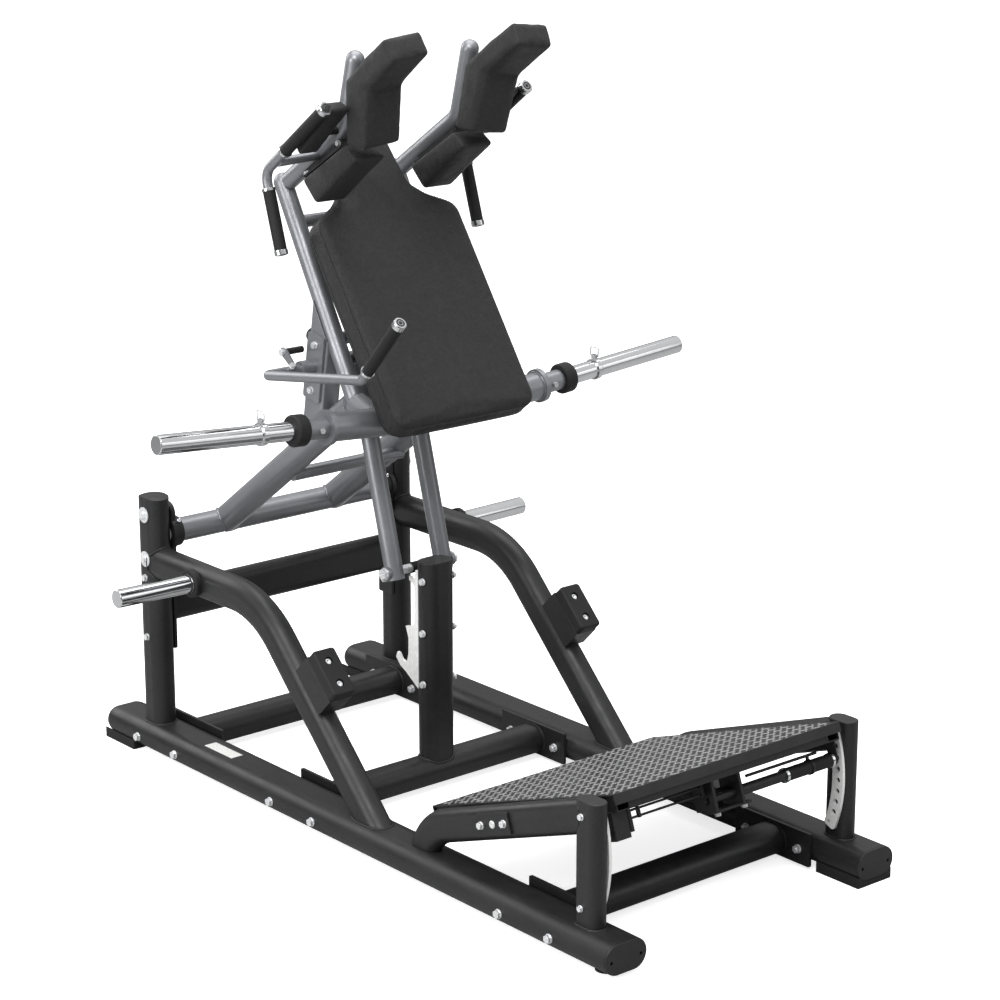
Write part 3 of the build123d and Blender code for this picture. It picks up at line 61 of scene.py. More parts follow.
# ------------------------------------------------------------------ shader node helpers
class Graph:
    """short calls that add, set and link shader nodes"""

    def __init__(self, tree, coords):
        self.tree = tree
        tree.nodes.clear()
        self.coords = self.node("ShaderNodeTexCoord").outputs[coords]

    def feed(self, socket, value):
        """link a socket to it, or set its value; colours get an alpha of 1"""
        if isinstance(value, bpy.types.NodeSocket):
            self.tree.links.new(value, socket)
        elif value is not None:
            socket.default_value = (*value, 1) if socket.type == "RGBA" else value

    def node(self, kind, inputs=None, **settings):
        node = self.tree.nodes.new(kind)
        for key, value in settings.items():
            setattr(node, key, value)
        for key, value in (inputs or {}).items():
            self.feed(node.inputs[key], value)
        return node

    def stretched(self, scale):
        return self.node("ShaderNodeMapping", {0: self.coords, "Scale": scale}).outputs[0]

    def noise(self, scale, detail=2.0, rough=0.5, coords=None, distort=0.0):
        return self.node("ShaderNodeTexNoise", {
            "Vector": coords or self.coords, "Scale": scale, "Detail": detail,
            "Roughness": rough, "Distortion": distort}).outputs["Fac"]

    def voronoi(self, scale, feature="F1"):
        node = self.node("ShaderNodeTexVoronoi", feature=feature)
        self.feed(node.inputs["Vector"], self.coords)
        self.feed(node.inputs["Scale"], scale)
        return node.outputs["Distance"]

    def ramp(self, fac, stops):
        node = self.node("ShaderNodeValToRGB", {0: fac})
        elements = node.color_ramp.elements
        while len(elements) < len(stops):
            elements.new(0.5)
        for element, (position, colour) in zip(elements, stops):
            element.position = position
            element.color = (*colour, 1)
        return node.outputs[0]

    def remap(self, fac, to=(0.0, 1.0), over=(0.0, 1.0)):
        """spread the range `over` onto the range `to`"""
        return self.node("ShaderNodeMapRange", {
            0: fac, 1: over[0], 2: over[1], 3: to[0], 4: to[1]}).outputs[0]

    def math(self, operation, a, b, clamp=False):
        return self.node("ShaderNodeMath", {0: a, 1: b}, operation=operation,
                         use_clamp=clamp).outputs[0]

    def plus(self, a, b, clamp=False):
        return self.math("ADD", a, b, clamp)

    def times(self, a, b, clamp=False):
        return self.math("MULTIPLY", a, b, clamp)

    def mix(self, fac, a, b):
        return self.node("ShaderNodeMix", data_type="RGBA", inputs={0: fac, 6: a, 7: b}).outputs[2]

    def bevel(self, radius):
        return self.node("ShaderNodeBevel", {"Radius": radius}, samples=4).outputs[0]

    def bump(self, height, strength, depth, normal=None):
        return self.node("ShaderNodeBump", {
            "Height": height, "Strength": strength, "Distance": depth,
            "Normal": normal}).outputs[0]

    def edge(self, bevel, over):
        """0 on flats, 1 on sharp edges"""
        normal = self.node("ShaderNodeNewGeometry").outputs["Normal"]
        dot = self.node("ShaderNodeVectorMath", {0: bevel, 1: normal}, operation="DOT_PRODUCT")
        return self.remap(self.math("SUBTRACT", 1.0, dot.outputs["Value"]), over=over)

    def facing_up(self, over):
        """how far the surface faces upwards"""
        normal = self.node("ShaderNodeNewGeometry").outputs["Normal"]
        parts = self.node("ShaderNodeSeparateXYZ", {0: normal})
        return self.remap(parts.outputs[2], over=over)


class Material(Graph):
    def __init__(self, name):
        self.material = bpy.data.materials.new(name)
        self.material.use_nodes = True
        super().__init__(self.material.node_tree, "Object")
        self.shader = self.node("ShaderNodeBsdfPrincipled")
        self.node("ShaderNodeOutputMaterial", {0: self.shader.outputs[0]})

    def surface(self, **values):
        """feed the shader's inputs, underscores standing for spaces"""
        for key, value in values.items():
            self.feed(self.shader.inputs[key.replace("_", " ")], value)
        return self.material


# ------------------------------------------------------------------ materials (lengths in metres)
def paint(name, dark, light, rough, wear_amt, metallic=0.0, wear=(0.12, 0.12, 0.125), peel=0.22,
          flake=0.0, dust=0.0, coat=0.0, spec=0.5):
    """clouded paint with worn edges; flake adds metal flecks, dust settles on upward faces"""
    m = Material(name)
    bevel = m.bevel(radius=0.0016)
    cloud = m.noise(scale=4.5, detail=4, rough=0.6)
    fine = m.noise(scale=620)
    smear = m.noise(scale=38, detail=5, rough=0.62, coords=m.stretched((1.0, 0.35, 1.0)))
    colour = m.ramp(cloud, [(0.3, dark), (0.72, light)])
    if flake:
        flecks = m.remap(m.voronoi(scale=1500), to=(0, flake), over=(0.25, 0.75))
        colour = m.mix(flecks, colour, scaled_colour(light, 1.9))
    edge = m.edge(bevel, over=(0.05, 0.3))
    broken = m.remap(m.noise(scale=90, detail=4, rough=0.65), over=(0.42, 0.68))
    worn = m.times(m.times(edge, broken), wear_amt, clamp=True)
    colour = m.mix(worn, colour, wear)
    if dust:
        dusty = m.times(m.facing_up(over=(0.55, 1)), m.remap(smear, to=(0, dust), over=(0.3, 0.75)))
        colour = m.mix(dusty, colour, (0.22, 0.215, 0.205))
    roughness = m.plus(m.remap(smear, to=(rough - 0.05, rough + 0.09), over=(0.3, 0.7)),
                       m.times(worn, 0.1), clamp=True)
    grain = m.noise(scale=260, rough=0.6)
    if not flake:
        colour = m.mix(m.remap(grain, to=(0, 0.5), over=(0.45, 0.75)), colour,
                       scaled_colour(light, 1.7))
    normal = m.bump(m.plus(fine, m.times(grain, 1.4)), strength=peel, depth=0.0004, normal=bevel)
    return m.surface(Base_Color=colour, Roughness=roughness, Metallic=metallic, Normal=normal,
                     Specular_IOR_Level=spec, Coat_Weight=coat, Coat_Roughness=0.22)


def chrome(name, tint=(0.70, 0.71, 0.72), rough=0.07, stretch=(1, 40, 40), scratch=0.12,
           bevel=0.001, metallic=1.0):
    """bright metal with fine lines; stretch sets the way they run"""
    m = Material(name)
    rounded = m.bevel(radius=bevel)
    lines = m.noise(scale=30, detail=6, rough=0.7, coords=m.stretched(stretch))
    cloud = m.noise(scale=22, detail=3, rough=0.6)
    roughness = m.plus(m.remap(lines, to=(rough * 0.6, rough * 1.9), over=(0.35, 0.7)),
                       m.remap(cloud, to=(0, rough), over=(0.45, 0.8)))
    colour = m.mix(m.remap(cloud, to=(0, 0.35), over=(0.3, 0.8)), tint, scaled_colour(tint, 0.78))
    return m.surface(Base_Color=colour, Roughness=roughness, Metallic=metallic,
                     Normal=m.bump(lines, strength=scratch, depth=0.00006, normal=rounded))


def zinc(name):
    """plated bolts: mottled, slightly blue in the darker spots"""
    bright = (0.93, 0.93, 0.92)
    m = Material(name)
    bevel = m.bevel(radius=0.0009)
    cloud = m.noise(scale=160, detail=4, rough=0.65)
    spangle = m.voronoi(scale=700)
    colour = m.mix(m.remap(cloud, over=(0.35, 0.7)), bright,
                   (bright[0] * 0.72, bright[1] * 0.74, bright[2] * 0.80))
    roughness = m.plus(m.remap(cloud, to=(0.16, 0.36), over=(0.3, 0.7)),
                       m.remap(spangle, to=(0, 0.06)))
    return m.surface(Base_Color=colour, Roughness=roughness, Metallic=0.6,
                     Normal=m.bump(cloud, strength=0.25, depth=0.0001, normal=bevel))


def rubber(name, base=0.009, rough=0.62, grain=0.5, scale=900.0, knurl=False):
    m = Material(name)
    bevel = m.bevel(radius=0.0018)
    height = m.noise(scale=scale, detail=3, rough=0.6)
    cloud = m.noise(scale=12, detail=4, rough=0.6)
    colour = m.mix(m.remap(cloud, over=(0.3, 0.75)), grey(base),
                   (base * 1.9, base * 1.9, base * 1.95))
    colour = m.mix(m.times(m.edge(bevel, over=(0.05, 0.3)), 0.35), colour, grey(0.04))
    if knurl:
        height = m.plus(m.times(height, 0.5), m.voronoi(scale=420))
    return m.surface(
        Base_Color=colour, Specular_IOR_Level=0.32,
        Roughness=m.remap(cloud, to=(rough - 0.08, rough + 0.12), over=(0.3, 0.7)),
        Normal=m.bump(height, strength=grain, depth=0.0004, normal=bevel))


def leather(name):
    """black leather: cells and pebbles for the grain, broad creases under them"""
    m = Material(name)
    pebble = m.voronoi(scale=430)
    cell = m.voronoi(scale=240, feature="DISTANCE_TO_EDGE")
    pores = m.noise(scale=1400, rough=0.6)
    crease = m.noise(scale=26, detail=6, rough=0.6, distort=0.8)
    tone = m.noise(scale=5, detail=3, rough=0.55)
    mottle = m.noise(scale=210, detail=3, rough=0.7)
    colour = m.ramp(tone, [(0.3, (0.0095, 0.0095, 0.0098)), (0.75, (0.0150, 0.0149, 0.0147))])
    colour = m.mix(m.remap(mottle, to=(0, 0.75), over=(0.38, 0.62)), colour, grey(0.0255))
    colour = m.mix(m.remap(cell, to=(0.35, 0), over=(0, 0.09)), colour, grey(0.005))
    colour = m.mix(m.remap(pores, to=(0, 0.35), over=(0.55, 0.8)), colour, grey(0.034))
    roughness = m.plus(m.remap(crease, to=(0.40, 0.58), over=(0.3, 0.7)),
                       m.remap(pebble, to=(0, 0.08), over=(0.1, 0.6)))
    height = m.plus(m.times(m.remap(cell, over=(0, 0.16)), 0.7), m.times(pebble, 0.5))
    height = m.plus(height, m.times(mottle, 1.1))
    normal = m.bump(height, strength=0.75, depth=0.0009)
    normal = m.bump(crease, strength=0.18, depth=0.0022, normal=normal)
    return m.surface(Base_Color=colour, Roughness=roughness, Normal=normal,
                     Specular_IOR_Level=0.34, Sheen_Weight=0.04, Sheen_Roughness=0.45)


def tread_metal(name, base, raised):
    """scuffed plate: the raised colour shows in the grain and along the edges"""
    m = Material(name)
    bevel = m.bevel(radius=0.001)
    cloud = m.noise(scale=18, detail=5, rough=0.6)
    grain = m.noise(scale=420, detail=3, rough=0.65)
    scuff = m.noise(scale=60, detail=6, rough=0.7, coords=m.stretched((0.5, 3.0, 3.0)))
    colour = m.mix(m.remap(cloud, over=(0.3, 0.75)), base, scaled_colour(base, 1.5))
    colour = m.mix(m.remap(grain, to=(0, 0.5), over=(0.5, 0.85)), colour, raised)
    colour = m.mix(m.times(m.edge(bevel, over=(0.03, 0.25)), 0.8), colour,
                   scaled_colour(raised, 1.4))
    return m.surface(Base_Color=colour, Metallic=0.35,
                     Roughness=m.remap(scuff, to=(0.30, 0.55), over=(0.3, 0.7)),
                     Normal=m.bump(grain, strength=0.35, depth=0.0003, normal=bevel))


BLACK = paint("powder_black", dark=(0.0105, 0.0105, 0.0110), light=(0.0165, 0.0165, 0.0168),
              rough=0.37, wear=(0.06, 0.06, 0.062), wear_amt=0.30, dust=0.06, spec=0.36)
BLACK_SMALL = paint("powder_black_small", dark=(0.0095, 0.0095, 0.010),
                    light=(0.015, 0.015, 0.0155), rough=0.42, wear=grey(0.08), wear_amt=0.40,
                    peel=0.3, spec=0.36)
SILVER = paint("silver_grey", dark=(0.175, 0.179, 0.192), light=(0.225, 0.230, 0.245),
               rough=0.34, metallic=0.55, wear=(0.34, 0.34, 0.36), wear_amt=0.25, peel=0.12,
               flake=0.30, coat=0.2)
CHROME = chrome("chrome_bar")
CHROME_SMALL = chrome("chrome_small", rough=0.10, stretch=(20, 20, 20), scratch=0.05, bevel=0.0007)
STEEL = chrome("brushed_plate", tint=(0.96, 0.96, 0.95), rough=0.22, stretch=(60, 60, 2),
               scratch=0.3, bevel=0.0008, metallic=0.2)
ZINC = zinc("zinc_bolt")
RUBBER = rubber("rubber_block")
GRIP = rubber("rubber_grip", base=0.006, rough=0.58, grain=0.75, scale=1100, knurl=True)
LEATHER = leather("pad_leather")
BOARD = rubber("board_black", base=0.010, rough=0.66, grain=0.35, scale=260)
LABEL = paint("blank_label", dark=(0.62, 0.62, 0.60), light=(0.72, 0.72, 0.70), rough=0.5,
              wear=(0.45, 0.45, 0.44), wear_amt=0.2, peel=0.05)
TREAD = tread_metal("tread_base", base=(0.022, 0.022, 0.023), raised=grey(0.060))
TREAD_RAISED = tread_metal("tread_raised", base=(0.20, 0.20, 0.201), raised=grey(0.42))
STITCH = paint("stitch_thread", dark=grey(0.030), light=grey(0.050), rough=0.6, wear_amt=0.0,
               peel=0.4)

# CAD pieces that wear each material
LOOK = {
    BLACK: "rails rail_end_caps cross_members rear_posts post_caps upper_cross_member "
           "side_tubes centre_post platform_arms front_posts",
    BLACK_SMALL: "bearing_housings platform_pivot_plates platform_frame lock_bar_right "
                 "lock_pin_left lock_rocker stop_rod pad_brackets",
    SILVER: "swing_frame back_frame uprights prop_bearing_plates load_horn_sleeves "
            "shoulder_handles prop_frame release_lever",
    CHROME: "storage_horns load_horns",
    CHROME_SMALL: "stop_ring_left stop_ring_right shoulder_grip_ends release_grip_ends "
                  "lock_pin_right",
    STEEL: "catch_plates index_plates pivot_stub_shafts prop_pivot_shaft",
    ZINC: "frame_bolts small_bolts bearing_bolts bumper_screws bearing_plate_bolts "
          "prop_shaft platform_pins",
    RUBBER: "foot_blocks levelling_foot storage_horn_collars load_horn_collars "
            "bumper_rubbers stop_bumper prop_shaft_sleeve",
    GRIP: "shoulder_grips release_grip lock_pin_grip",
    BOARD: "back_board",
    TREAD: "tread_plate",
    LEATHER: "back_pad shoulder_pads lower_pads rear_pads",
}
for material, names in LOOK.items():
    for name in names.split():
        piece = CAD[name]
        if not piece.material_slots:
            piece.data.materials.append(material)
        for slot in piece.material_slots:
            slot.link = "OBJECT"
            slot.material = material


# ------------------------------------------------------------------ mesh helpers (metres)
def add_object(name, data):
    obj = bpy.data.objects.new(name, data)
    SCENE.collection.objects.link(obj)
    return obj


def raw_mesh(name, verts, faces):
    mesh = bpy.data.meshes.new(name)
    mesh.from_pydata([tuple(v) for v in verts], [], faces)
    return mesh


def smooth_shade(mesh):
    mesh.polygons.foreach_set("use_smooth", [True] * len(mesh.polygons))


def add_piece(name, parts, material, body, smooth=True):
    """one object from several (verts, faces) parts, riding on a body of the machine"""
    verts, faces = [], []
    for part_verts, part_faces in parts:
        first = len(verts)
        verts += part_verts
        faces += [tuple(i + first for i in face) for face in part_faces]
    mesh = raw_mesh(name, verts, faces)
    mesh.validate()
    mesh.update()
    if smooth:
        smooth_shade(mesh)
    mesh.materials.append(material)
    obj = add_object(name, mesh)
    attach(obj, body)


def ring_faces(rings, sides):
    """quads between neighbouring rings of vertices"""
    return [(r * sides + k, r * sides + (k + 1) % sides,
             (r + 1) * sides + (k + 1) % sides, (r + 1) * sides + k)
            for r in range(rings - 1) for k in range(sides)]


def end_faces(rings, sides):
    return [tuple(reversed(range(sides))), tuple(range((rings - 1) * sides, rings * sides))]


def tube(points, radius, sides, closed=False, ripple=0.0):
    """round cord through the points; ripple swells and thins every other ring"""
    count = len(points)
    verts = []
    side = None
    for i, p in enumerate(points):
        before = points[(i - 1) % count] if (closed or i) else p
        after = points[(i + 1) % count] if (closed or i < count - 1) else p
        along = (after - before).normalized()
        if side is None:
            side = along.orthogonal().normalized()
        else:
            side = (side - along * side.dot(along)).normalized()
        other = along.cross(side)
        ring_radius = radius * (1 + ripple * (1 if i % 2 else -1))
        for k in range(sides):
            angle = 2 * pi * k / sides
            verts.append(p + (side * cos(angle) + other * sin(angle)) * ring_radius)
    faces = ring_faces(count, sides)
    if closed:
        last = (count - 1) * sides
        faces += [(last + k, last + (k + 1) % sides, (k + 1) % sides, k) for k in range(sides)]
    else:
        faces += end_faces(count, sides)
    return verts, faces


# ------------------------------------------------------------------ soft pads (metres)
def shells(obj):
    """the separate shells of a CAD piece as (verts, faces)"""
    bm = bmesh.new()
    bm.from_mesh(obj.data)
    bmesh.ops.remove_doubles(bm, verts=bm.verts, dist=1e-5)
    seen, found = set(), []
    for seed in bm.verts:
        if seed.index in seen:
            continue
        stack, group = [seed], []
        seen.add(seed.index)
        while stack:
            vert = stack.pop()
            group.append(vert)
            for edge in vert.link_edges:
                other = edge.other_vert(vert)
                if other.index not in seen:
                    seen.add(other.index)
                    stack.append(other)
        order = {v.index: i for i, v in enumerate(group)}
        faces = [[order[v.index] for v in f.verts] for f in bm.faces if f.verts[0].index in order]
        found.append(([v.co.copy() for v in group], faces))
    bm.free()
    return found


def apply_modifier(obj, kind, **settings):
    modifier = obj.modifiers.new(kind.lower(), kind)
    for key, value in settings.items():
        setattr(modifier, key, value)
    bpy.ops.object.modifier_apply(modifier=modifier.name)


def inflate(obj, held):
    """blow the pad up as cloth with the held vertices fixed; returns where the vertices end"""
    last_frame = 20
    group = obj.vertex_groups.new(name="pin")
    group.add([i for i, h in enumerate(held) if h], 1.0, "REPLACE")
    cloth = obj.modifiers.new("cloth", "CLOTH")
    tuning = dict(
        quality=5, mass=0.3, tension_stiffness=40, compression_stiffness=40,
        shear_stiffness=25, bending_stiffness=12.0, use_pressure=True,
        uniform_pressure_force=4.0, vertex_group_mass="pin")
    for key, value in tuning.items():
        setattr(cloth.settings, key, value)
    cloth.settings.effector_weights.gravity = 0
    cloth.collision_settings.use_collision = False
    cloth.point_cache.frame_start = 1
    cloth.point_cache.frame_end = last_frame
    for f in range(1, last_frame + 1):
        SCENE.frame_set(f)
    evaluated = obj.evaluated_get(bpy.context.evaluated_depsgraph_get())
    moved = [v.co.copy() for v in evaluated.to_mesh().vertices]
    evaluated.to_mesh_clear()
    obj.modifiers.remove(cloth)
    SCENE.frame_set(1)
    return moved


def upholster(name, shell, is_held, voxel, shrink, cap, soft, settle):
    """padded leather from a solid: remesh, smooth, shrink, inflate and subdivide once.

    is_held(point) is True where the pad rests on its support; cap limits the swelling;
    soft and settle are the smoothing passes before and after it.
    """
    mesh = raw_mesh(name, *shell)
    mesh.update()
    obj = add_object(name, mesh)
    bpy.context.view_layer.objects.active = obj
    for other in bpy.context.selected_objects:
        other.select_set(False)
    obj.select_set(True)
    apply_modifier(obj, "REMESH", mode="VOXEL", voxel_size=voxel)
    apply_modifier(obj, "SMOOTH", factor=0.5, iterations=soft)
    mesh = obj.data
    mesh.update()
    held = [is_held(co) for co in [v.co.copy() for v in mesh.vertices]]
    for v, h in zip(mesh.vertices, held):
        if not h:
            v.co = v.co - v.normal * shrink
    start = [v.co.copy() for v in mesh.vertices]
    moved = inflate(obj, held)
    for v, before, after in zip(mesh.vertices, start, moved):
        swell = after - before
        if swell.length > cap:
            swell *= cap / swell.length
        v.co = before + swell
    mesh.update()
    apply_modifier(obj, "SMOOTH", factor=0.5, iterations=settle)
    apply_modifier(obj, "SUBSURF", levels=1, render_levels=1)
    mesh = obj.data
    smooth_shade(mesh)
    mesh.materials.clear()
    mesh.materials.append(LEATHER)
    return obj


def mirrored(obj, name):
    mesh = obj.data.copy()
    mesh.name = name
    for v in mesh.vertices:
        v.co.x = -v.co.x
    mesh.flip_normals()
    mesh.update()
    return add_object(name, mesh)


def fit_pad(pad, replaced):
    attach(pad, "carriage")
    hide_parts(replaced)


def resample(points, step):
    """closed outline with points no more than about a step apart"""
    dense = []
    for a, b in zip(points, points[1:] + points[:1]):
        pieces = max(1, int((b - a).length / step))
        dense += [a.lerp(b, j / pieces) for j in range(pieces)]
    return dense


def surface_path(obj, points, lift):
    """a closed path laid on the nearest faces: smoothed points and the face normals"""
    bvh = BVHTree.FromObject(obj, bpy.context.evaluated_depsgraph_get())
    path, normals = [], []
    for p in resample(points, step=0.004):
        spot, normal, _, _ = bvh.find_nearest(p)
        path.append(spot + normal * lift)
        normals.append(normal)
    count = len(path)
    for _ in range(3):
        path = [(path[i - 1] + path[i] * 2 + path[(i + 1) % count]) / 4 for i in range(count)]
    return path, normals


def seam(name, obj, points, stitched):
    """welt cord on the surface of a pad, with a row of stitches beside it if asked"""
    cord_radius = 0.0011
    stitch_pitch, stitch_offset, stitch_radius = 0.0075, 0.0032, 0.00045
    half_stitch, half_raised, rise = 0.0021, 0.001, 0.0005
    path, normals = surface_path(obj, points, lift=cord_radius * 0.25)
    add_piece(name + "_welt", [tube(path, cord_radius, sides=8, closed=True)],
              LEATHER, "carriage")
    if not stitched:
        return
    stitches = []
    run = 0.0
    for i in range(len(path) - 1):
        run += (path[i + 1] - path[i]).length
        if run > stitch_pitch:
            run = 0.0
            along = (path[i + 1] - path[i - 1]).normalized()
            lift = normals[i] * rise
            mid = path[i] + normals[i].cross(along).normalized() * stitch_offset
            stitches.append(tube(
                [mid - along * half_stitch, mid - along * half_raised + lift,
                 mid + along * half_raised + lift, mid + along * half_stitch],
                stitch_radius, sides=6))
    add_piece(name + "_stitch", stitches, STITCH, "carriage")


# Back pad: runs up a slope; its normal points up and towards the platform.
BACK_FOOT, BACK_HEAD = at(0, 1068, 1066), at(0, 1392, 1540)
back_up = (BACK_HEAD - BACK_FOOT).normalized()
back_out = Vector((0, -back_up.z, back_up.y))
BACK_HELD = -0.058      # metres along the normal; everything beneath is held
BACK_HALF = 235         # half the pad's width
FOOT_CORNER = 42
SHOULDER_CORNER, SHOULDER_S = 66, 545
# (x, distance up the slope) of the narrowing neck, right half from the bottom up
NECK = [(150, 636), (124, 656), (104, 690), (90, 760), (86, 800), (62, 827)]


def back_point(x, up, out):
    return BACK_FOOT + back_up * (up / 1000) + back_out * (out / 1000) + Vector((x / 1000, 0, 0))


def arc(centre, radius, start, end, steps=8):
    angles = [radians(start + (end - start) * i / steps) for i in range(steps + 1)]
    return [(centre[0] + radius * cos(a), centre[1] + radius * sin(a)) for a in angles]


def back_outline():
    """pad outline in (x, distance up the slope)"""
    right = arc((BACK_HALF - FOOT_CORNER, FOOT_CORNER), FOOT_CORNER, -90, 0)
    right += [(BACK_HALF, 300), (BACK_HALF, SHOULDER_S)]
    right += arc((BACK_HALF - SHOULDER_CORNER, SHOULDER_S), SHOULDER_CORNER, 0, 62)
    right += NECK
    return right + [(-x, up) for x, up in reversed(right)]


back_pad = upholster("back_pad_soft", shells(CAD["back_pad"])[0],
                     lambda co: (co - BACK_FOOT).dot(back_out) < BACK_HELD,
                     voxel=0.006, shrink=0.0005, cap=0.004, soft=2, settle=2)
fit_pad(back_pad, "back_pad")
for name, out, stitched in (("back_seam_front", -13, True), ("back_seam_rear", -54, False)):
    seam(name, back_pad, [back_point(x, up, out) for x, up in back_outline()], stitched)

# Paired pads: the left one is made and then mirrored.
LOWER_START = at(0, 1482, 1655)
lower_along = (at(0, 1300, 1766) - LOWER_START).normalized()
lower_up = Vector((0, lower_along.z, -lower_along.y))


def shoulder_held(co):
    """the rear face, which leans forward as it rises, up to just below the top"""
    y, z = (co.y + MID_Y) * 1000, co.z * 1000
    rear_face = 1279 - (z - 1772) * 0.124
    return z < 1938 and y > rear_face - 4


def lower_held(co):
    return (co - LOWER_START).dot(lower_up) > -0.004


def rear_held(co):
    """the side towards the machine's middle"""
    return co.x > -0.2515


for stem, is_held, cap in (("shoulder_pad", shoulder_held, 0.003),
                           ("lower_pad", lower_held, 0.003),
                           ("rear_pad", rear_held, 0.0025)):
    cad_name = stem + "s"
    left_shell = next(s for s in shells(CAD[cad_name]) if sum(v.x for v in s[0]) < 0)
    left = upholster(stem + "_left", left_shell, is_held,
                     voxel=0.0045, shrink=0.0002, cap=cap, soft=7, settle=3)
    right = mirrored(left, stem + "_right")
    for pad in (left, right):
        fit_pad(pad, cad_name)

# ------------------------------------------------------------------ raised bars on the tread plate
# u runs down the tilted plate away from the platform's front edge, v out of its face.
TILT = radians(19.3)
PLATE_X, PLATE_U0, PLATE_U1 = 378, -381, 329
PLATE_V = 39.95         # foot of the bars, just under the plate's face
EDGE_TRIM = 0.6         # bars are cut this far inside the plate's edge
EDGE_KEEP = 5.0         # bars centred nearer the edge than this are left out
BAR_HEIGHT = 1.9
BAR_RINGS = ((1.0, 0.0), (0.93, 0.62), (0.72, 0.92), (0.35, 1.0))   # (size, height) fractions
BAR_SIDES = 10
CELL = 68.5             # side of the repeating cell
BAR_PITCH = CELL * sqrt(2) / 3      # along a row
ROW_PITCH = CELL * sqrt(2) / 2      # between rows
PATTERN_X, PATTERN_U = 8.0, -6.0


def plate_point(x, u, v):
    return at(x, 445 + u * cos(TILT) + v * sin(TILT), 250 - u * sin(TILT) + v * cos(TILT))


def lozenge(x, u, angle, half_length, half_width):
    """low domed bar with pointed ends"""
    verts = []
    for size, height in BAR_RINGS:
        for i in range(BAR_SIDES):
            turn = 2 * pi * i / BAR_SIDES
            along = half_length * size * cos(turn)
            across = half_width * size * sin(turn) * (1 - 0.25 * abs(cos(turn)) ** 3)
            px = x + along * cos(angle) - across * sin(angle)
            pu = u + along * sin(angle) + across * cos(angle)
            px = min(PLATE_X - EDGE_TRIM, max(EDGE_TRIM - PLATE_X, px))
            pu = min(PLATE_U1 - EDGE_TRIM, max(PLATE_U0 + EDGE_TRIM, pu))
            verts.append(plate_point(px, pu, PLATE_V + BAR_HEIGHT * height))
    rings = len(BAR_RINGS)
    bottom, top = end_faces(rings, BAR_SIDES)
    return verts, ring_faces(rings, BAR_SIDES) + [top, bottom]


def bar_at(along, across, **shape):
    """the bar at a place on the diagonal rows, as a list that is empty off the plate"""
    x = (along + across) / sqrt(2) + PATTERN_X
    u = (-along + across) / sqrt(2) + PATTERN_U
    inside = (abs(x) < PLATE_X - EDGE_KEEP
              and PLATE_U0 + EDGE_KEEP < u < PLATE_U1 - EDGE_KEEP)
    return [lozenge(x, u, **shape)] if inside else []


# rows of single bars one way, with rows of paired bars the other way between them
bars = []
for row in range(-16, 17):
    for place in range(-40, 41):
        along = (place + (0.5 if row % 2 else 0.0)) * BAR_PITCH
        across = row * ROW_PITCH
        bars += bar_at(along, across, angle=-pi / 4, half_length=14.2, half_width=4.1)
        for shift in (0.25, 0.75):
            bars += bar_at(along + shift * BAR_PITCH, across + ROW_PITCH / 2,
                           angle=pi / 4, half_length=14.6, half_width=3.7)
add_piece("tread_lozenges", bars, TREAD_RAISED, "platform")

# ------------------------------------------------------------------ weld beads on the base
RAIL_X = 422            # rail centre lines
BAR_Z, BAR_R = 53, 39   # rails and cross members: centre height, radius of the rounded edges
REAR_Y = 1931           # rear posts
POST_R = 35.0
TUBE_LONG, TUBE_WIDE = 94, 70       # flat-oval section of the rear posts and side tubes
CLEAR = 3               # a bead's loop is this much larger than the section it goes round
SINK = 0.5


def bar_top(offset, half_flat):
    """height of a flat-oval bar's surface at an offset from its centre line"""
    return BAR_Z + sqrt(max(0.0, BAR_R ** 2 - max(0.0, abs(offset) - half_flat) ** 2))


def rail_top(offset):
    return bar_top(offset, half_flat=26.0)


def racetrack(width, height, steps=14):
    """closed outline of a flat oval, its width along the first axis"""
    radius = height / 2
    centre = (width - height) / 2
    return [(side * centre + radius * cos(turn), radius * sin(turn))
            for side, start in ((1, -pi / 2), (-1, pi / 2))
            for turn in [start + pi * i / steps for i in range(steps + 1)]]


def bead(loop, radius):
    """rippled weld bead round a loop; radius in metres"""
    return tube(loop, radius, sides=8, closed=True, ripple=0.10)


def weld(loop, radius):
    return bead(resample(loop, step=0.0035), radius)


tube_loop = racetrack(TUBE_LONG + CLEAR, TUBE_WIDE + CLEAR)
welds = []
for side in (-1, 1):
    rail_x = side * RAIL_X
    # rear and front posts on the rail: (y, section length, section width)
    for y, long, wide in ((REAR_Y, TUBE_LONG, TUBE_WIDE), (123, 82, 50)):
        welds.append(weld([at(rail_x + b, y + a, rail_top(b) - SINK)
                           for a, b in racetrack(long + CLEAR, wide + CLEAR)], 0.0034))
    # foot of the 45-degree side tube, cut by the rail's top
    welds.append(weld([at(rail_x + b, rail_top(b) - SINK + 867.6 - a * sqrt(2), rail_top(b) - SINK)
                       for a, b in tube_loop], 0.0036))
    # side tube into the rear post
    welds.append(weld([at(rail_x + b,
                          REAR_Y - (12 + sqrt(max(0.0, POST_R ** 2 - b * b))) - SINK, 558 + a)
                       for a, b in tube_loop], 0.003))
    # cross members to their flange plates
    for y in (289, 1225, 1860):
        welds.append(weld([at(side * 348.6, y + a, BAR_Z + b) for a, b in racetrack(100, 80)],
                          0.003))
    # upper cross member, between the rear posts
    welds.append(weld([at(side * 378.6, REAR_Y + b, 430.5 + a) for a, b in racetrack(108, 58)],
                      0.003))
# centre post on the middle cross member
welds.append(weld([at(a, 1222 + b, bar_top(1222 + b - 1225, half_flat=10.0) + 0.2)
                   for a, b in racetrack(102, 72)], 0.0034))
add_piece("base_welds", welds, BLACK, "base")

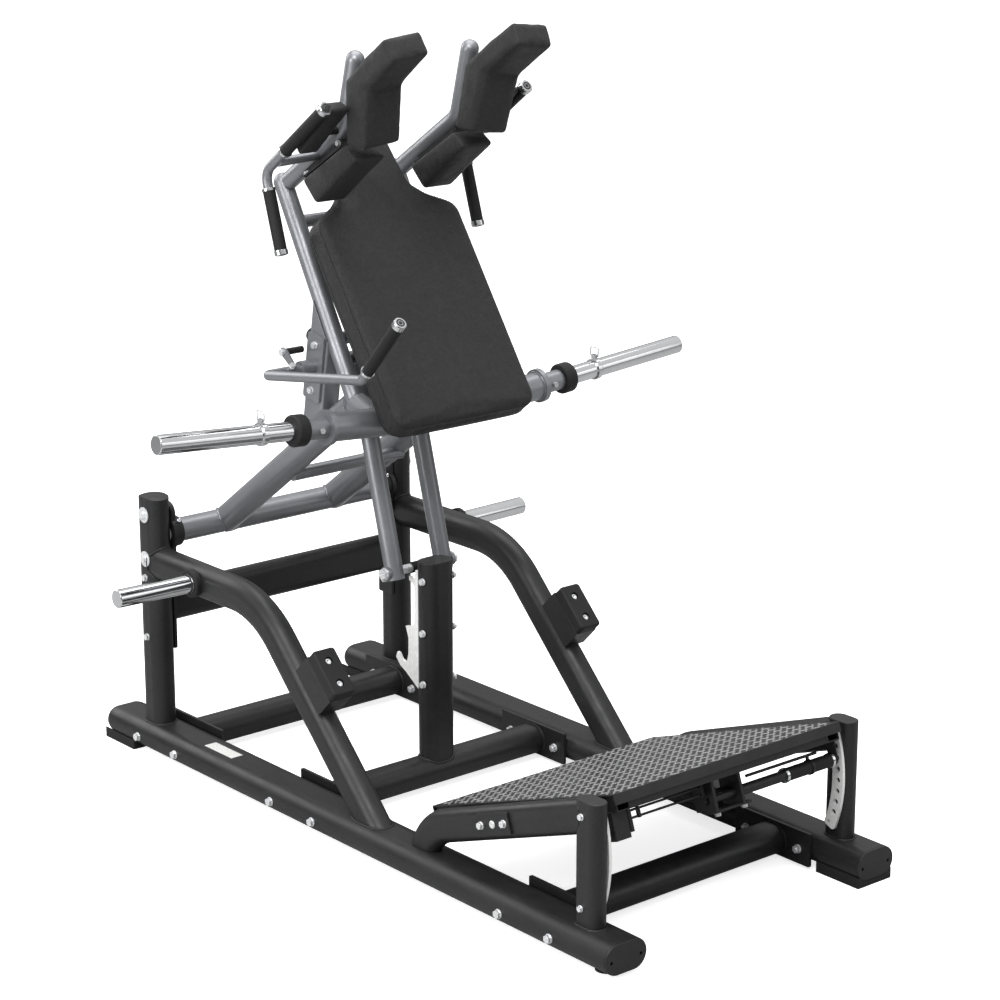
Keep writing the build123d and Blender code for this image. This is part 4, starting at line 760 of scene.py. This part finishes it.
# ------------------------------------------------------------------ weld beads on the carriage
PIVOT_Y, PIVOT_Z = 1928.0, 634.0
PIVOT_R = 34.0
ARM_X, ARM_BEAD_R = 187, 38.5
arm_along = Vector((0, 1318.0 - PIVOT_Y, 1079.5 - PIVOT_Z)).normalized()
arm_up = Vector((0, arm_along.z, -arm_along.y))
CROSS_X, CROSS_RISE = 349.0, radians(4.5)
CROSS_BEAD_R = 0.0386   # metres


def arm_loop(x, steps=60):
    """where the round arm leaves the pivot tube, which lies along x"""
    points = []
    for i in range(steps):
        turn = 2 * pi * i / steps
        up = ARM_BEAD_R * sin(turn)
        if abs(up) >= PIVOT_R:
            up = copysign(PIVOT_R * 0.999, up)
        p = (Vector((x + ARM_BEAD_R * cos(turn), 0, 0)) + arm_along * sqrt(PIVOT_R ** 2 - up ** 2)
             + arm_up * up)
        points.append(at(p.x, PIVOT_Y + p.y, PIVOT_Z + p.z))
    return points


def cross_loop(side, steps=70):
    """ring round the axis that rises outwards on each side"""
    centre = at(side * CROSS_X, 1216, 1039 + CROSS_X * tan(CROSS_RISE))
    across = Vector((0, 1, 0))
    other = Vector((side * cos(CROSS_RISE), 0, sin(CROSS_RISE))).cross(across)
    turns = [2 * pi * i / steps for i in range(steps)]
    return [centre + (across * cos(t) + other * sin(t)) * CROSS_BEAD_R for t in turns]


welds = []
for side in (-1, 1):
    welds.append(weld(arm_loop(side * ARM_X), 0.0032))
    welds.append(bead(cross_loop(side), 0.003))
add_piece("carriage_welds", welds, SILVER, "carriage")

# ------------------------------------------------------------------ end plugs
PLUG_R = 0.0115         # metres
# (metres beyond the bar's end, fraction of the plug's radius)
PLUG_PROFILE = [(-0.0006, 0.98), (0.0004, 1), (0.0008, 0.93), (0.0002, 0.84),
                (-0.0001, 0.5), (0.0009, 0.42), (0.0011, 0.30), (0.0004, 0.22)]


def end_plug(end, start, sides=36):
    """shallow recessed disc with a socket ring, on the end of a bar from start to end"""
    along = (end - start).normalized()
    u = along.orthogonal().normalized()
    w = along.cross(u)
    turns = [2 * pi * k / sides for k in range(sides)]
    verts = [end + along * out + (u * cos(t) + w * sin(t)) * (PLUG_R * size)
             for out, size in PLUG_PROFILE for t in turns]
    rings = len(PLUG_PROFILE)
    return verts, ring_faces(rings, sides) + end_faces(rings, sides)


carriage_plugs = []
for x in (-328, 328):
    carriage_plugs.append(end_plug(at(x, 1233, 1876), at(x, 1412, 1746)))
    carriage_plugs.append(end_plug(at(x, 1434, 1476), at(x, 1486, 1643)))
prop_plugs = [end_plug(at(-358, 904, 1391), at(-358, 1041, 1241))]
for body, plugs in (("carriage", carriage_plugs), ("prop", prop_plugs)):
    add_piece(f"end_plugs_{body}", plugs, BLACK_SMALL, body)


# ------------------------------------------------------------------ blank plate on the left rail
def blank_plate():
    """thin plate without lettering, bent over the rail's top"""
    x0, x1 = -447.0, -409.0
    n = 9               # points across
    xs = [x0 + (x1 - x0) * i / (n - 1) for i in range(n)]
    top = [at(x, y, rail_top(x + RAIL_X) + 0.5) for y in (1552.0, 1680.0) for x in xs]
    under = len(top)    # first vertex of the underside
    verts = top + [v - Vector((0, 0, 0.0006)) for v in top]
    faces = [(i, i + 1, n + i + 1, n + i) for i in range(n - 1)]
    for i in range(n - 1):
        faces.append((under + n + i, under + n + i + 1, under + i + 1, under + i))
        faces.append((i + 1, i, under + i, under + i + 1))
        faces.append((n + i, n + i + 1, under + n + i + 1, under + n + i))
    faces.append((0, n, under + n, under))
    faces.append((n - 1, under + n - 1, under + 2 * n - 1, 2 * n - 1))
    return verts, faces


add_piece("blank_plate", [blank_plate()], LABEL, "base", smooth=False)


# ------------------------------------------------------------------ studio (metres)
def add_floor():
    """pale floor, darker to everything but the camera"""
    half = 40
    mesh = raw_mesh("floor", [(-half, -half, 0), (half, -half, 0), (half, half, 0),
                              (-half, half, 0)], [(0, 1, 2, 3)])
    floor = add_object("floor", mesh)
    m = Material("floor_pale")
    cloud = m.remap(m.noise(scale=1.2, detail=3), over=(0.3, 0.7))
    camera_ray = m.node("ShaderNodeLightPath").outputs["Is Camera Ray"]
    seen = m.mix(cloud, grey(0.93), grey(0.95))
    mesh.materials.append(m.surface(
        Base_Color=m.mix(camera_ray, grey(0.40), seen), Roughness=0.9,
        Emission_Strength=m.times(camera_ray, 0.75), Emission_Color=grey(1),
        Specular_IOR_Level=0.1))


def add_world():
    """white to the camera; to other rays a grey gradient with a dark band at the horizon"""
    world = bpy.data.worlds.new("studio")
    SCENE.world = world
    world.use_nodes = True
    g = Graph(world.node_tree, "Generated")
    height = g.node("ShaderNodeSeparateXYZ", {0: g.coords}).outputs[2]
    # (height from straight down to straight up, brightness)
    stops = ((0.0, 0.55), (0.47, 0.42), (0.53, 0.06), (0.60, 0.10), (0.69, 0.70), (1.0, 0.85))
    gradient = g.ramp(g.remap(height, over=(-1, 1)), [(p, grey(level)) for p, level in stops])
    lit = g.node("ShaderNodeBackground", {0: gradient, 1: 1.0})
    white = g.node("ShaderNodeBackground", {0: grey(1), 1: 1.0})
    camera_ray = g.node("ShaderNodeLightPath").outputs["Is Camera Ray"]
    mixed = g.node("ShaderNodeMixShader", {0: camera_ray, 1: lit.outputs[0], 2: white.outputs[0]})
    g.node("ShaderNodeOutputWorld", {0: mixed.outputs[0]})


# name, place, height aimed at on the z axis, size, watts
LIGHTS = (
    ("key", (-3.2, -2.2, 5.2), 0.6, 3.2, 200),
    ("left", (-5.2, 0.4, 1.9), 0.7, 2.6, 120),
    ("top", (0.6, 0.6, 5.6), 0.6, 4.5, 170),
    ("fill", (3.5, -4.8, 2.4), 0.9, 2.6, 22),
    ("back", (-1.5, 5.0, 3.2), 1.0, 3.0, 80),
)


def add_lights():
    for name, place, aim, size, watts in LIGHTS:
        light = bpy.data.lights.new(name, "AREA")
        light.energy = watts
        light.size = size
        obj = add_object(name, light)
        obj.location = place
        direction = Vector((0, 0, aim)) - Vector(place)
        obj.rotation_euler = direction.to_track_quat("-Z", "Y").to_euler()


def add_camera():
    down, turn = 15.81, -40.14      # degrees below level, and about z from facing +y
    data = bpy.data.cameras.new("camera")
    data.lens = 100.96
    data.sensor_width = 36.0
    data.clip_end = 200
    camera = add_object("camera", data)
    camera.location = (-4.4781, -4.3568 - MID_Y, 2.8342)
    camera.rotation_euler = (radians(90 - down), 0, radians(turn))
    SCENE.camera = camera


add_floor()
add_world()
add_lights()
add_camera()
SCENE.view_settings.view_transform = "Standard"

bpy.context.view_layer.update()
